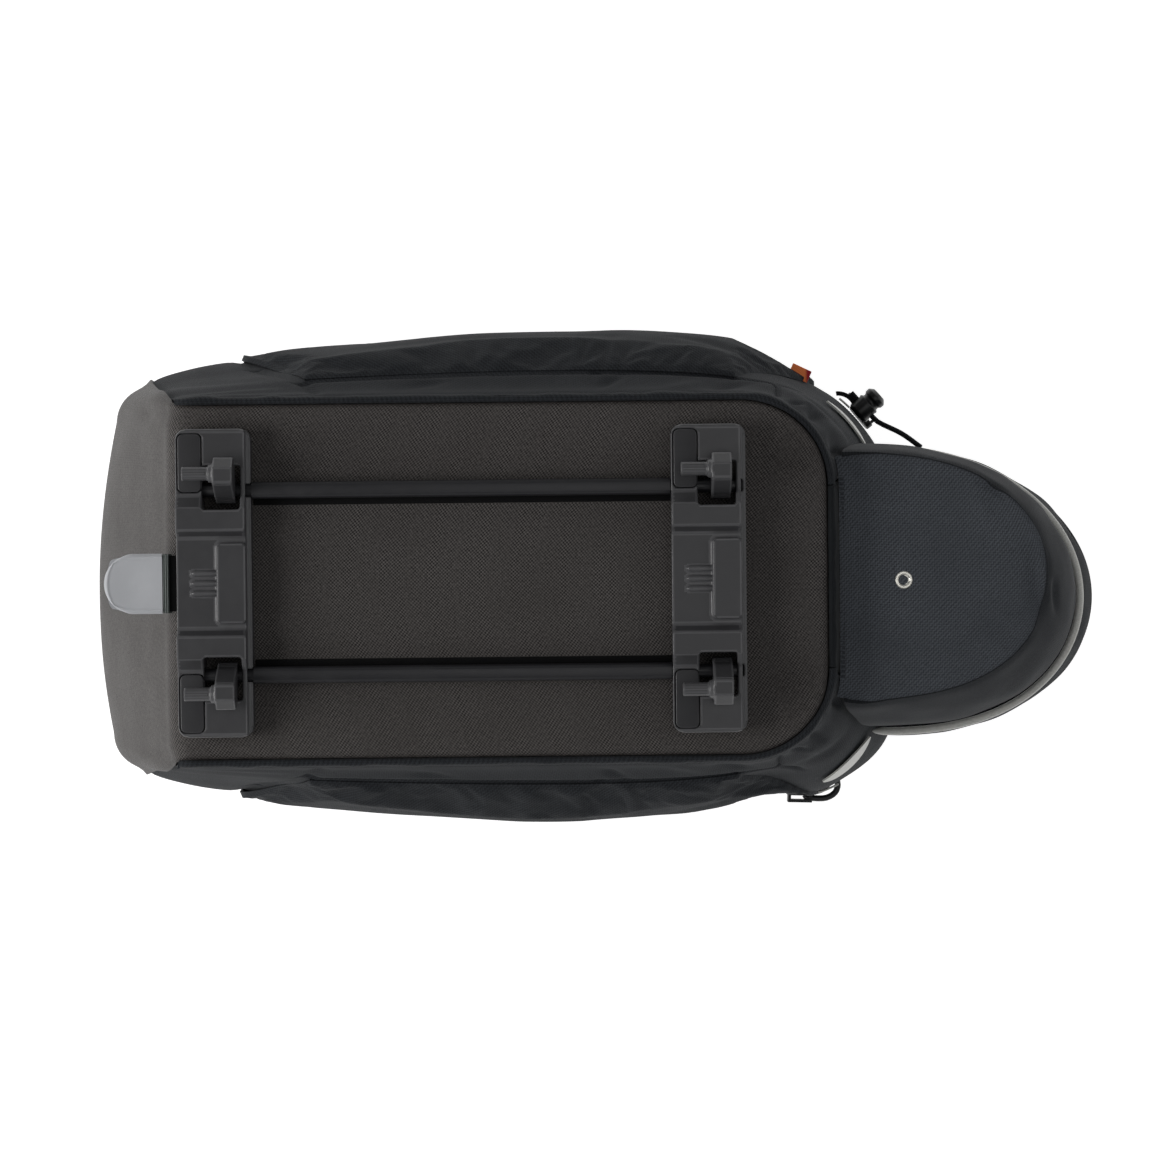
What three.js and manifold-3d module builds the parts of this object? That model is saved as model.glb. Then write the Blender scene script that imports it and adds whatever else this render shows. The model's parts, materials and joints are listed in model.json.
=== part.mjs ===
// A bicycle trunk bag lying on its lid, with its base and its rack adapter facing up.
// Millimetres, +Z up, +X to the bag's tail, +Y to its left side. The floor is at z = 0.
import * as THREE from 'three';
import { mergeVertices } from 'three/addons/utils/BufferGeometryUtils.js';
import Module from 'manifold-3d';

const wasm = await Module();
wasm.setup();

// Cloth thicknesses and gaps
const gap = 0.3;
const baseCloth = 3;
const wallCloth = 2.4;
const pocketCloth = 1.5;
const lidCloth = 4;
const tailCloth = 2;
const trimCloth = 1;

// The bag's body, measured at the edge of its base
const bodyHeight = 200;
const frontX = -165.5;
const rearX = 93.5;
const baseHalf = 70.5;
const edgeRoll = 5;
const rearCorner = 35;
const widestX = -5;

// How far the body grows out of the base's outline, where it is fullest
const frontLean = 43.5;
const noseSwell = 10;
const sideSwell = 21.5;
const backSwell = 16;
const rearLean = 35.5;
const frontBow = 7;
const frontSkew = 1.5;
const skewReach = 60;
const frontEdge = 2;
const frontCorner = 13;
const cornerSoftness = 0.35;

// Where the seams run, as depths below the base
const lidDepth = 46;
const zipWidth = 8;
const zipTop = bodyHeight - lidDepth - zipWidth;
const pocketTop = 30;
const pocketMargin = 8;
const pocketDepth = zipTop - pocketMargin - pocketTop;
const pocketSwell = 8.2;
const dentSink = 2.2;
const stripDepth = 74;
const stripEdge = 0.8;

// The bottle pocket at the tail
const tailEndX = 211;
const tailLean = 8;
const leanStartX = 65;
const leanEndX = 100;
const leanDepth = 90;
const endLean = 4;
const floorRootDepth = 12;
const floorEndDepth = 20;
const pipingDepth = 70;
const rimMargin = 24;
const rimDepth = zipTop - rimMargin;
const pipingRadius = 1.6;
const hemRadius = 2;

// The drain eyelet
const eyeletX = 123;
const eyeletY = -2;
const eyeletOuter = 3.7;
const eyeletHole = 1.8;
const eyeletBarrel = 2.5;
const eyeletFlange = 0.9;
const eyeletLength = 4;

// The rack adapter's two cross bars
const barWidth = 29;
const barLength = 120;
const barCorner = 4;
const frontBarX = -147;
const rearBarX = 45.5;
const seatHeight = 10.7;
const humpHeight = 13.7;
const middleHeight = 10.2;
const seatLength = 26;
const humpSlope = 4.5;
const humpWidth = 8.9;
const humpFall = 2.7;
const seatInner = barLength / 2 - seatLength;
const humpOuter = seatInner - humpSlope;
const humpInner = humpOuter - humpWidth;
const middleHalf = humpInner - humpFall;
const skirtWidth = 2;
const skirtDrop = 3;
const ribLength = 9;
const ribWidth = 1.4;
const ribRise = 1.1;
const ribSpacing = 3.9;
const ribX = -4;
const ribCount = 3;
const blockX = 7;
const blockWidth = 11.5;
const blockMargin = 2.4;
const blockLength = 2 * (middleHalf - blockMargin);
const blockRise = 3;

// The rubber grip pads on the rail seats
const padWidth = 9;
const padLength = 22.5;
const padDepth = 1.6;
const padProud = 0.5;
const padCorner = 2;
const padX = -9;
const padInset = 2;
const padMiddle = barLength / 2 - padInset - padLength / 2;

// The shafts, hooks and their slots
const shaftInset = 24;
const shaftY = barLength / 2 - shaftInset;
const shaftHeight = 6.3;
const shaftWide = 6.5;
const shaftTall = 5.8;
const journalRadius = 2.6;
const journalDepth = 5;
const slotWidth = 14.7;
const slotLength = 17;
const slotX = 3.2;
const slotShift = 1.2;
const hubRadius = 5.2;
const hookWidth = 7.7;
const hookX = 4.8;
const headBase = 7.5;
const headTop = 17.5;
const headInner = 2;
const headOuter = 12.8;
const pinRadius = 2.7;
const pinReach = 13;
const pinOut = 6.6;
const pinHeight = 13.6;
const pinCollar = 3.6;
const pinCollarLength = 1.6;

// The release tab under the front bar
const tabWidth = 23;
const tabReach = 28;
const tabTongue = 14;
const tabThickness = 4;
const tabHeight = 3.4;
const tabGrip = 1.2;

// Zip slider, pulls, cord lock and label
const sliderLength = 12;
const sliderWidth = 9;
const sliderThickness = 2.4;
const bridgeSpan = 8;
const bridgeRise = 3.4;
const bridgeWidth = 3;
const bridgeBar = 1.3;
const pullLength = 18;
const pullWidth = 8.6;
const pullBar = 1.5;
const lockRadius = 5;
const lockLength = 13;
const lockWaist = 4;
const cordRadius = 1.1;
const labelLength = 8.5;
const labelReach = 5;
const labelDepth = 96;
const labelPlace = 3.02;

// Shares of bodyHeight, then shares of each named growth of the outline at that depth
const bodyRows = [
  { depth: 0.025, front: 0.00, nose: 0.00, side: 0.00, back: 0.00, rear: 0.00 },
  { depth: 0.15, front: 0.27, nose: 0.52, side: 0.56, back: 0.50, rear: 0.27 },
  { depth: 0.30, front: 0.56, nose: 0.68, side: 0.81, back: 0.71, rear: 0.55 },
  { depth: 0.50, front: 0.88, nose: 0.88, side: 0.97, back: 0.94, rear: 0.87 },
  { depth: 0.65, front: 1.00, nose: 1.00, side: 1.00, back: 1.00, rear: 1.00 },
  { depth: 0.76, front: 1.00, nose: 0.97, side: 0.97, back: 0.98, rear: 0.99 },
  { depth: 0.86, front: 0.93, nose: 0.78, side: 0.88, back: 0.85, rear: 0.90 },
  { depth: 0.93, front: 0.72, nose: 0.41, side: 0.60, back: 0.51, rear: 0.64 },
  { depth: 0.975, front: 0.34, nose: -0.22, side: 0.10, back: -0.14, rear: 0.22 },
  { depth: 1.00, front: -0.10, nose: -1.03, side: -0.55, back: -1.00, rear: -0.36 },
];

// Bottle pocket: its root's place on the wall, share of the way to its end, how square its end is
const tailRows = [
  { name: 'floor', root: 3.76, end: 0.80, power: 2.8 },
  { name: 'piping', root: 3.72, end: 0.88, power: 2.35 },
  { name: 'rim', root: 3.70, end: 1.00, power: 2.15 },
];

// Side pocket folds: place along and down the pocket, half sizes as shares of it, rise in mm shares
const pocketFolds = [
  { along: 0.16, down: 0.10, long: 0.10, wide: 0.12, rise: -0.20 },
  { along: 0.34, down: 0.22, long: 0.16, wide: 0.12, rise: 0.14 },
  { along: 0.62, down: 0.14, long: 0.14, wide: 0.14, rise: -0.16 },
  { along: 0.88, down: 0.18, long: 0.09, wide: 0.16, rise: -0.24 },
  { along: 0.78, down: 0.55, long: 0.12, wide: 0.22, rise: 0.12 },
];

// Swells and dents of the walls: place along the outline, depth share, half sizes and share of dentSink
const wallDents = [
  { place: 1.20, depth: 0.60, long: 0.22, wide: 0.30, sink: -3.30 },
  { place: 1.16, depth: 0.28, long: 0.20, wide: 0.12, sink: 0.73 },
  { place: 1.25, depth: 0.58, long: 0.14, wide: 0.16, sink: 0.55 },
  { place: 3.10, depth: 0.24, long: 0.25, wide: 0.12, sink: 1.00 },
  { place: 3.45, depth: 0.55, long: 0.30, wide: 0.14, sink: 0.64 },
];

const materials = {
  coated: { color: 0x312e2d, roughness: 0.62, metalness: 0 },
  cloth: { color: 0x25282b, roughness: 0.85, metalness: 0 },
  smooth: { color: 0x222427, roughness: 0.75, metalness: 0 },
  reflective: { color: 0x96968f, roughness: 0.45, metalness: 0.1 },
  zip: { color: 0x121314, roughness: 0.6, metalness: 0 },
  label: { color: 0xe8502c, roughness: 0.7, metalness: 0 },
  nickel: { color: 0xc9c9c6, roughness: 0.3, metalness: 1 },
  plastic: { color: 0x3a3a3c, roughness: 0.42, metalness: 0 },
  shaft: { color: 0x2b2b2d, roughness: 0.4, metalness: 0 },
  rubber: { color: 0x1d1d1e, roughness: 0.8, metalness: 0 },
  tab: { color: 0xa0a3a7, roughness: 0.5, metalness: 0 },
};

const bag = new THREE.Group();

function addMesh(name, geometry, material, parent = bag) {
  const mesh = new THREE.Mesh(geometry, new THREE.MeshStandardMaterial(materials[material]));
  mesh.name = name;
  parent.add(mesh);
  return mesh;
}

const lerp = THREE.MathUtils.lerp;
const clamp = THREE.MathUtils.clamp;
const vec = (x, y, z) => new THREE.Vector3(x, y, z);
const range = (count) => Array.from({ length: count }, (_, index) => index);
const spread = (count, from, to) => range(count).map((index) => lerp(from, to, index / (count - 1)));
const bump = (offset, reach) => Math.exp(-((offset / reach) ** 2));
const arch = (share, power) => 1 - Math.abs(2 * share - 1) ** power;

// Solids, closed sheets and lofts

function closedGeometry(points, faces) {
  const geometry = new THREE.BufferGeometry();
  geometry.setAttribute('position', new THREE.Float32BufferAttribute(points.flatMap((p) => p.toArray()), 3));
  let volume = 0;
  for (let i = 0; i < faces.length; i += 3) {
    const [a, b, c] = [points[faces[i]], points[faces[i + 1]], points[faces[i + 2]]];
    volume += a.dot(b.clone().cross(c));
  }
  const inwards = volume < 0;
  geometry.setIndex(inwards ? faces.toReversed() : faces);
  return geometry;
}

function pushQuad(faces, a, b, c, d) {
  faces.push(a, b, c, a, c, d);
}

// A sheet between two grids of points, closed along its four edges
function closedSheet(outer, inner) {
  const rows = outer.length;
  const columns = outer[0].length;
  const under = rows * columns;
  const faces = [];
  const at = (row, column) => row * columns + column;
  for (let row = 0; row < rows - 1; row++) {
    for (let column = 0; column < columns - 1; column++) {
      const corners = [at(row, column), at(row, column + 1), at(row + 1, column + 1), at(row + 1, column)];
      pushQuad(faces, ...corners);
      pushQuad(faces, ...corners.toReversed().map((corner) => corner + under));
    }
    const [start, end] = [at(row, 0), at(row + 1, 0)];
    pushQuad(faces, start, end, end + under, start + under);
    const [first, last] = [at(row, columns - 1), at(row + 1, columns - 1)];
    pushQuad(faces, last, first, first + under, last + under);
  }
  for (let column = 0; column < columns - 1; column++) {
    const [start, end] = [at(0, column), at(0, column + 1)];
    pushQuad(faces, end, start, start + under, end + under);
    const [first, last] = [at(rows - 1, column), at(rows - 1, column + 1)];
    pushQuad(faces, first, last, last + under, first + under);
  }
  return closedGeometry([...outer.flat(), ...inner.flat()], faces);
}

// Skins a row of equal rings; flat fans close both ends unless the row closes on itself
function loft(rings, isLoop = false) {
  const count = rings[0].length;
  const points = rings.flat();
  const faces = [];
  const spans = isLoop ? rings.length : rings.length - 1;
  for (let ring = 0; ring < spans; ring++) {
    const next = (ring + 1) % rings.length;
    for (let side = 0; side < count; side++) {
      const turn = (side + 1) % count;
      pushQuad(faces, ring * count + side, ring * count + turn, next * count + turn, next * count + side);
    }
  }
  if (!isLoop) {
    const last = (rings.length - 1) * count;
    for (let side = 1; side < count - 1; side++) {
      faces.push(0, side + 1, side);
      faces.push(last, last + side, last + side + 1);
    }
  }
  return closedGeometry(points, faces);
}

// A cup: rings of an outer and an inner skin, open at the first ring
function cup(outer, inner) {
  return loft([...inner.toReversed(), ...outer]);
}

function toSolid(geometry) {
  const bare = geometry.clone();
  bare.deleteAttribute('normal');
  bare.deleteAttribute('uv');
  const merged = mergeVertices(bare, 1e-4);
  const vertProperties = new Float32Array(merged.attributes.position.array);
  const triVerts = new Uint32Array(merged.index.array);
  return new wasm.Manifold(new wasm.Mesh({ numProp: 3, vertProperties, triVerts }));
}

function toGeometry(solid) {
  const mesh = solid.getMesh();
  const geometry = new THREE.BufferGeometry();
  geometry.setAttribute('position', new THREE.BufferAttribute(new Float32Array(mesh.vertProperties), 3));
  geometry.setIndex(new THREE.BufferAttribute(new Uint32Array(mesh.triVerts), 1));
  return geometry;
}

function boxSolid(from, to) {
  const size = to.clone().sub(from);
  const centre = from.clone().add(to).multiplyScalar(0.5);
  return toSolid(new THREE.BoxGeometry(size.x, size.y, size.z).translate(centre.x, centre.y, centre.z));
}

// A round bar along X, between two x places
function barSolid(radius, fromX, toX, y, z, sides = 16) {
  const geometry = new THREE.CylinderGeometry(radius, radius, toX - fromX, sides);
  return toSolid(geometry.rotateZ(Math.PI / 2).translate((fromX + toX) / 2, y, z));
}

function roundedOutline(width, length, corner, steps = 3) {
  const centres = [[1, 1], [-1, 1], [-1, -1], [1, -1]];
  return centres.flatMap(([sx, sy], quarter) => range(steps + 1).map((step) => {
    const angle = (quarter + step / steps) * Math.PI / 2;
    const x = sx * (width / 2 - corner) + corner * Math.cos(angle);
    return new THREE.Vector2(x, sy * (length / 2 - corner) + corner * Math.sin(angle));
  }));
}

function plate(outline, thickness, holes = []) {
  const shape = new THREE.Shape(outline);
  shape.holes = holes.map((hole) => new THREE.Path(hole));
  return new THREE.ExtrudeGeometry(shape, { depth: thickness, bevelEnabled: false });
}

// The bag's body

// Smooth value of one column of a table at a depth share
function track(rows, key, depthShare) {
  const last = rows.length - 1;
  let low = 0;
  while (low < last - 1 && rows[low + 1].depth < depthShare) {
    low++;
  }
  const slope = (row) => {
    const [before, after] = [rows[Math.max(row - 1, 0)], rows[Math.min(row + 1, last)]];
    return (after[key] - before[key]) / (after.depth - before.depth);
  };
  const span = rows[low + 1].depth - rows[low].depth;
  const t = (depthShare - rows[low].depth) / span;
  const start = (1 + 2 * t) * (1 - t) ** 2 * rows[low][key] + t * (1 - t) ** 2 * span * slope(low);
  return start + t * t * (3 - 2 * t) * rows[low + 1][key] + t * t * (t - 1) * span * slope(low + 1);
}

function bodySizes(depth) {
  const share = depth / bodyHeight;
  const lean = track(bodyRows, 'front', share);
  const rear = track(bodyRows, 'rear', share);
  return {
    front: frontX - frontLean * lean,
    bow: frontBow * clamp(lean, 0, 1),
    corner: frontEdge + frontCorner * clamp(lean, 0, 1),
    nose: baseHalf + noseSwell * track(bodyRows, 'nose', share),
    side: baseHalf + sideSwell * track(bodyRows, 'side', share),
    back: baseHalf + backSwell * track(bodyRows, 'back', share),
    rear: rearX + rearLean * rear,
    softness: cornerSoftness * clamp(rear, 0, 1),
  };
}

// One point of the outline at a depth. Places: -1 front middle, 0 to 1 front corner,
// 1 to 2 side up to the widest section, 2 to 3 side behind it, 3 to 4 rear corner, 5 rear middle.
function outlinePoint(depth, place) {
  const s = bodySizes(depth);
  const sideStart = s.front + s.bow + s.corner;
  const rearStart = s.rear - rearCorner;
  const rearHalf = s.back - rearCorner * (1 + 0.3 * s.softness / cornerSoftness);
  const z = bodyHeight - depth;
  if (place < 0) {
    const share = place + 1;
    return vec(s.front + s.bow * share ** 2, share * (s.nose - s.corner), z);
  }
  if (place < 1) {
    const angle = place * Math.PI / 2;
    const x = sideStart - s.corner * Math.cos(angle);
    return vec(x, s.nose - s.corner * (1 - Math.sin(angle)), z);
  }
  if (place < 2) {
    const left = 2 - place;
    return vec(lerp(widestX, sideStart, left), s.side - (s.side - s.nose) * left ** 2, z);
  }
  if (place < 3) {
    const gone = place - 2;
    return vec(lerp(widestX, rearStart, gone), s.side - (s.side - s.back) * gone ** 2, z);
  }
  if (place < 4) {
    const gone = place - 3;
    const angle = gone * Math.PI / 2;
    const roundX = rearStart + rearCorner * Math.sin(angle);
    const roundY = rearHalf + (s.back - rearHalf) * Math.cos(angle);
    const straightY = lerp(s.back, rearHalf, gone);
    const softX = lerp(roundX, rearStart + rearCorner * gone, s.softness);
    return vec(softX, lerp(roundY, straightY, s.softness), z);
  }
  return vec(s.rear, rearHalf * (5 - place), z);
}

function outlineNormal(depth, place, point = outlinePoint) {
  const step = 0.02;
  const along = point(depth, place + step).sub(point(depth, place - step));
  const down = point(depth + 10 * step, place).sub(point(depth - 10 * step, place));
  return along.cross(down).normalize();
}

function wallSink(depth, place) {
  const share = depth / bodyHeight;
  const sinks = wallDents.map((dent) => (
    dent.sink * bump(place - dent.place, dent.long) * bump(share - dent.depth, dent.wide)));
  return dentSink * sinks.reduce((sum, sink) => sum + sink, 0);
}

// The rear of the bag leans to its right away from the base, and its front face stands askew
function leaning(x, y, z) {
  const { smoothstep } = THREE.MathUtils;
  const lean = tailLean * smoothstep(x, leanStartX, leanEndX) + endLean * smoothstep(x, leanEndX, tailEndX);
  const skew = frontSkew * (y / baseHalf) * smoothstep(frontX + skewReach - x, 0, skewReach);
  const down = smoothstep(bodyHeight - z, 0, leanDepth);
  return vec(x + skew * down, y - lean * down, z);
}

// A point of the wall cloth, a distance outside its outer face
function wallPoint(depth, place, distance = 0, side = 1) {
  const lift = distance - wallSink(depth, place);
  const point = outlinePoint(depth, place).addScaledVector(outlineNormal(depth, place), lift);
  return leaning(point.x, point.y * side, point.z);
}

function wallGrid(depths, places, distance, side) {
  return depths.map((depth) => places.map((place) => wallPoint(depth, place, distance, side)));
}

function wallSheet(depths, places, thickness, side, distance = 0) {
  const outer = wallGrid(depths, places, distance + thickness, side);
  return closedSheet(outer, wallGrid(depths, places, distance, side));
}

// Base: one coated sheet, flat underneath, rolled at its edges and run up the front wall

function rolledPoint(x, y, distance) {
  const flatHalf = baseHalf - edgeRoll;
  const flatFront = frontX + edgeRoll;
  const flatRear = rearX - edgeRoll;
  const corner = rearCorner - edgeRoll;
  const nearest = vec(clamp(x, flatFront, flatRear), clamp(y, -flatHalf, flatHalf), 0);
  if (x > flatRear - corner && Math.abs(y) > flatHalf - corner) {
    const centre = vec(flatRear - corner, Math.sign(y) * (flatHalf - corner), 0);
    const arm = vec(x, y, 0).sub(centre);
    nearest.copy(centre.add(arm.clampLength(0, corner)));
  }
  const out = vec(x, y, 0).sub(nearest);
  const turn = Math.min(out.length() / edgeRoll, Math.PI / 2);
  const normal = out.setLength(Math.sin(turn)).add(vec(0, 0, Math.cos(turn)));
  nearest.z = bodyHeight - edgeRoll;
  return nearest.addScaledVector(normal, edgeRoll - distance);
}

function rolledHalfWidth(x) {
  const reach = edgeRoll * (Math.PI / 2 - 1);
  const full = baseHalf + reach;
  const corner = rearCorner + reach;
  const beyond = x - (rearX - rearCorner);
  return beyond > 0 ? full - corner + Math.sqrt(Math.max(corner ** 2 - beyond ** 2, 0)) : full;
}

function basePanel() {
  const reach = edgeRoll * Math.PI / 2;
  const cornerTurns = spread(6, Math.PI / 2, Math.PI / 12);
  const cornerReach = rearCorner - edgeRoll + reach;
  const cornerXs = cornerTurns.map((turn) => rearX - rearCorner + cornerReach * Math.sin(turn));
  const flatXs = [...cornerXs, ...spread(4, rearX - rearCorner, frontX + edgeRoll)];
  const creaseXs = [frontX + edgeRoll - reach * 0.35, frontX + edgeRoll - reach * 0.7];
  const shares = [-1, -0.955, -0.91, -0.8, -0.6, -0.3, 0, 0.3, 0.6, 0.8, 0.91, 0.955, 1];
  const sheetRow = (x, distance) => shares.map((share) => (
    rolledPoint(x, share * rolledHalfWidth(x), distance)));
  const wallRow = (depth, distance) => shares.map((share) => (
    wallPoint(depth, 2 * Math.abs(share) - 1, -distance, share < 0 ? -1 : 1)));
  const depths = [edgeRoll, 2 * edgeRoll, ...spread(6, 5 * edgeRoll, zipTop)];
  const skin = (distance) => [
    ...[...flatXs, ...creaseXs].map((x) => sheetRow(x, distance)),
    ...depths.map((depth) => wallRow(depth, distance)),
  ];
  return closedSheet(skin(0), skin(baseCloth));
}

addMesh('base_panel', basePanel(), 'coated');

// Walls, side pockets and trim on each side

const wallTop = edgeRoll + gap;
const wallShares = [0.12, 0.23, 0.36, 0.51, 0.67, 0.84];
const wallDepths = [wallTop, ...wallShares.map((share) => share * zipTop), zipTop];
const seamStep = 0.008;
const frontSeam = 1 + seamStep / 2;
const rearSeam = 4 - seamStep;

// Where a side pocket runs along the outline, its columns, and how far down it is fullest
const pocketPlaces = { from: 1.35, to: 2.85, fullest: 0.42 };
const pocketSteps = [0, 0.05, 0.14, 0.28, 0.42, 0.56, 0.7, 0.84, 0.95, 1];
const pocketColumns = pocketSteps.map((along) => lerp(pocketPlaces.from, pocketPlaces.to, along));
const sidePlaces = [frontSeam, 1.12, 1.24, ...pocketColumns, 2.94, 3.06, ...spread(5, 3.2, rearSeam)];

function pocketBulge(along, down) {
  const middle = pocketPlaces.fullest;
  const downShare = 0.5 + 0.5 * (down - middle) / (down < middle ? middle : 1 - middle);
  const round = arch(along, 3.2) * arch(downShare, 2.4);
  const folds = pocketFolds.map((fold) => (
    fold.rise * bump(along - fold.along, fold.long) * bump(down - fold.down, fold.wide)));
  return pocketSwell * round * (1 + folds.reduce((sum, fold) => sum + fold, 0));
}

function pocketSheet(side) {
  const downs = [0, 0.07, 0.18, 0.34, 0.52, 0.7, 0.87, 1];
  const skin = (extra) => downs.map((down) => pocketSteps.map((along, column) => {
    const lift = 2 * gap + pocketBulge(along, down) + extra;
    return wallPoint(pocketTop + pocketDepth * down, pocketColumns[column], lift, side);
  }));
  return closedSheet(skin(pocketCloth), skin(0));
}

const stripRows = { left: { from: 3.3, to: 3.68, wide: 3 }, right: { from: 2.92, to: 3.66, wide: 6 } };

function cornerStrip(side, row) {
  const places = spread(9, row.from, row.to);
  const edge = (distance, sign) => places.map((place, index) => {
    const swell = arch(index / (places.length - 1), 2) * row.wide / 2 + stripEdge;
    return wallPoint(stripDepth + sign * swell, place, distance, side);
  });
  const skin = (distance) => [edge(distance, -1), edge(distance, 1)];
  return closedSheet(skin(gap + trimCloth), skin(gap));
}

for (const [sideName, side] of [['left', 1], ['right', -1]]) {
  const wall = wallSheet(wallDepths, sidePlaces, wallCloth, side, -wallCloth);
  addMesh(`${sideName}_side_wall`, wall, 'cloth');
  addMesh(`${sideName}_side_pocket`, pocketSheet(side), 'cloth');
  addMesh(`${sideName}_reflective_strip`, cornerStrip(side, stripRows[sideName]), 'reflective');
}

function rearWall() {
  const halves = spread(4, 4 + seamStep, 5);
  const skin = (distance) => wallDepths.map((depth) => [
    ...halves.map((place) => wallPoint(depth, place, distance, 1)),
    ...halves.slice(0, -1).toReversed().map((place) => wallPoint(depth, place, distance, -1)),
  ]);
  return closedSheet(skin(0), skin(-wallCloth));
}

addMesh('rear_wall', rearWall(), 'smooth');

// Zip round the sides and the rear, the cloth hinge at the front, and the padded lid

const zipDepth = zipTop + zipWidth / 2;
const hingePlace = -0.1;
const ringPlaces = [
  ...spread(4, hingePlace, 0.7), ...spread(4, 1, 2), ...spread(4, 2.3, 3), ...spread(6, 3.2, 4.25),
];

// The places of a way round the body from one side's place to the other's, past the rear
function roundRear(from) {
  const stops = [0, 0.5, 1, 1.35, 1.7, 2, 2.4, 2.7, 3, 3.2, 3.4, 3.6, 3.8, 4];
  const half = [from, ...stops.filter((place) => place > from), 4.5];
  const left = half.map((place) => [place, 1]);
  return [...left, [5, 1], ...half.toReversed().map((place) => [place, -1])];
}

// Section of a zip: tape with the coil along its middle, as shares of width and height
const zipSection = [
  { across: -0.5, out: 0 }, { across: -0.5, out: 0.5 }, { across: -0.2, out: 0.5 },
  { across: -0.14, out: 1 }, { across: 0.14, out: 1 }, { across: 0.2, out: 0.5 },
  { across: 0.5, out: 0.5 }, { across: 0.5, out: 0 },
];

function zipBand() {
  const height = wallCloth;
  const width = zipWidth - 2 * gap;
  return loft(roundRear(hingePlace + seamStep).map(([place, side]) => zipSection.map((corner) => (
    wallPoint(zipDepth + corner.across * width, place, corner.out * height - wallCloth / 2, side)))));
}

function lidHinge() {
  const places = spread(4, hingePlace, -1);
  const depths = [zipTop + gap, zipTop + zipWidth - gap];
  const skin = (distance) => depths.map((depth) => [
    ...places.map((place) => wallPoint(depth, place, distance, 1)),
    ...places.slice(0, -1).toReversed().map((place) => wallPoint(depth, place, distance, -1)),
  ]);
  return closedSheet(skin(0), skin(-wallCloth));
}

function lidCup() {
  const leftPlaces = ringPlaces.map((place) => [place, 1]);
  const places = [...leftPlaces, ...ringPlaces.toReversed().map((place) => [place, -1])];
  const depths = [0, 0.3, 0.57, 0.74, 0.87, 0.96, 1].map((share) => bodyHeight - lidDepth * (1 - share));
  const outer = depths.map((depth) => places.map(([place, side]) => wallPoint(depth, place, 0, side)));
  const inner = depths.map((depth) => places.map(([place, side]) => {
    const inside = wallPoint(Math.min(depth, bodyHeight - lidCloth / 4), place, -lidCloth, side);
    return inside.setZ(Math.max(inside.z, lidCloth));
  }));
  return cup(outer, inner);
}

addMesh('main_zip', zipBand(), 'zip');
addMesh('lid_hinge', lidHinge(), 'cloth');
addMesh('lid', lidCup(), 'cloth');

// Bottle pocket at the tail, its mouth towards the lid

const rootStep = 0.07;

// A point of the pocket at a table row; turn runs from the left root over the end to the right root
function tailPoint(row, depthRoot, depthEnd, turn, distance = 0) {
  const start = outlinePoint(depthRoot + tailCloth, row.root + rootStep).x + 2 * gap;
  const half = outlinePoint(depthRoot, row.root).y;
  const forward = Math.max(Math.cos(turn), 0) ** (2 / row.power);
  const x = start + (lerp(start, tailEndX, row.end) - start) * forward + distance * Math.cos(turn);
  const y = -(half + distance) * Math.sin(turn);
  return leaning(x, y, bodyHeight - lerp(depthRoot, depthEnd, forward));
}

const tailTurns = [-90, -78, -66, -54, -42, -30, -18, -6, 6, 18, 30, 42, 54, 66, 78, 90]
  .map((degrees) => THREE.MathUtils.degToRad(degrees));
const [floorRow, pipingRow, rimRow] = tailRows;

function tailBand(from, to, middleSwell) {
  const rows = [0, 0.35, 0.7, 1];
  const skin = (distance) => rows.map((share) => tailTurns.map((turn) => {
    const swell = middleSwell * arch(share, 2);
    const low = tailPoint(from.row, from.root, from.end, turn, distance + swell);
    return low.lerp(tailPoint(to.row, to.root, to.end, turn, distance + swell), share);
  }));
  return closedSheet(skin(0), skin(-tailCloth));
}

function tailFloor() {
  const wallPlaces = [floorRow.root + rootStep, 3.92, 4, 4.5, 5];
  const rootLine = (side) => wallPlaces.map((place) => (
    wallPoint(floorRootDepth + tailCloth, place, 2 * gap, side).setZ(bodyHeight - floorRootDepth)));
  const rootRow = [...rootLine(1), ...rootLine(-1).slice(0, -1).toReversed()];
  const half = tailTurns.slice(1, tailTurns.length / 2);
  const skin = (drop) => [rootRow, ...half.map((turn) => {
    const left = tailPoint(floorRow, floorRootDepth, floorEndDepth, turn, -gap);
    const right = tailPoint(floorRow, floorRootDepth, floorEndDepth, -turn, -gap);
    return spread(rootRow.length, 0, 1).map((share) => left.clone().lerp(right, share));
  })].map((row) => row.map((point) => point.clone().add(vec(0, 0, -drop))));
  const drillLength = 10 * eyeletLength;
  const hole = new THREE.CylinderGeometry(eyeletBarrel + gap, eyeletBarrel + gap, drillLength, 12);
  hole.rotateX(Math.PI / 2).translate(eyeletX, eyeletY, bodyHeight - floorRootDepth);
  return toGeometry(toSolid(closedSheet(skin(0), skin(tailCloth))).subtract(toSolid(hole)));
}

// A cord of round section along the pocket at one row and depth
function tailCord(row, depth, radius, sides, distance) {
  return loft(tailTurns.map((turn) => {
    const centre = tailPoint(row, depth, depth, turn, distance);
    const outward = vec(Math.cos(turn), -Math.sin(turn), 0);
    return range(sides).map((side) => {
      const angle = (side / sides) * 2 * Math.PI;
      const rise = vec(0, 0, radius * Math.sin(angle));
      return centre.clone().addScaledVector(outward, radius * Math.cos(angle)).add(rise);
    });
  }));
}

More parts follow.
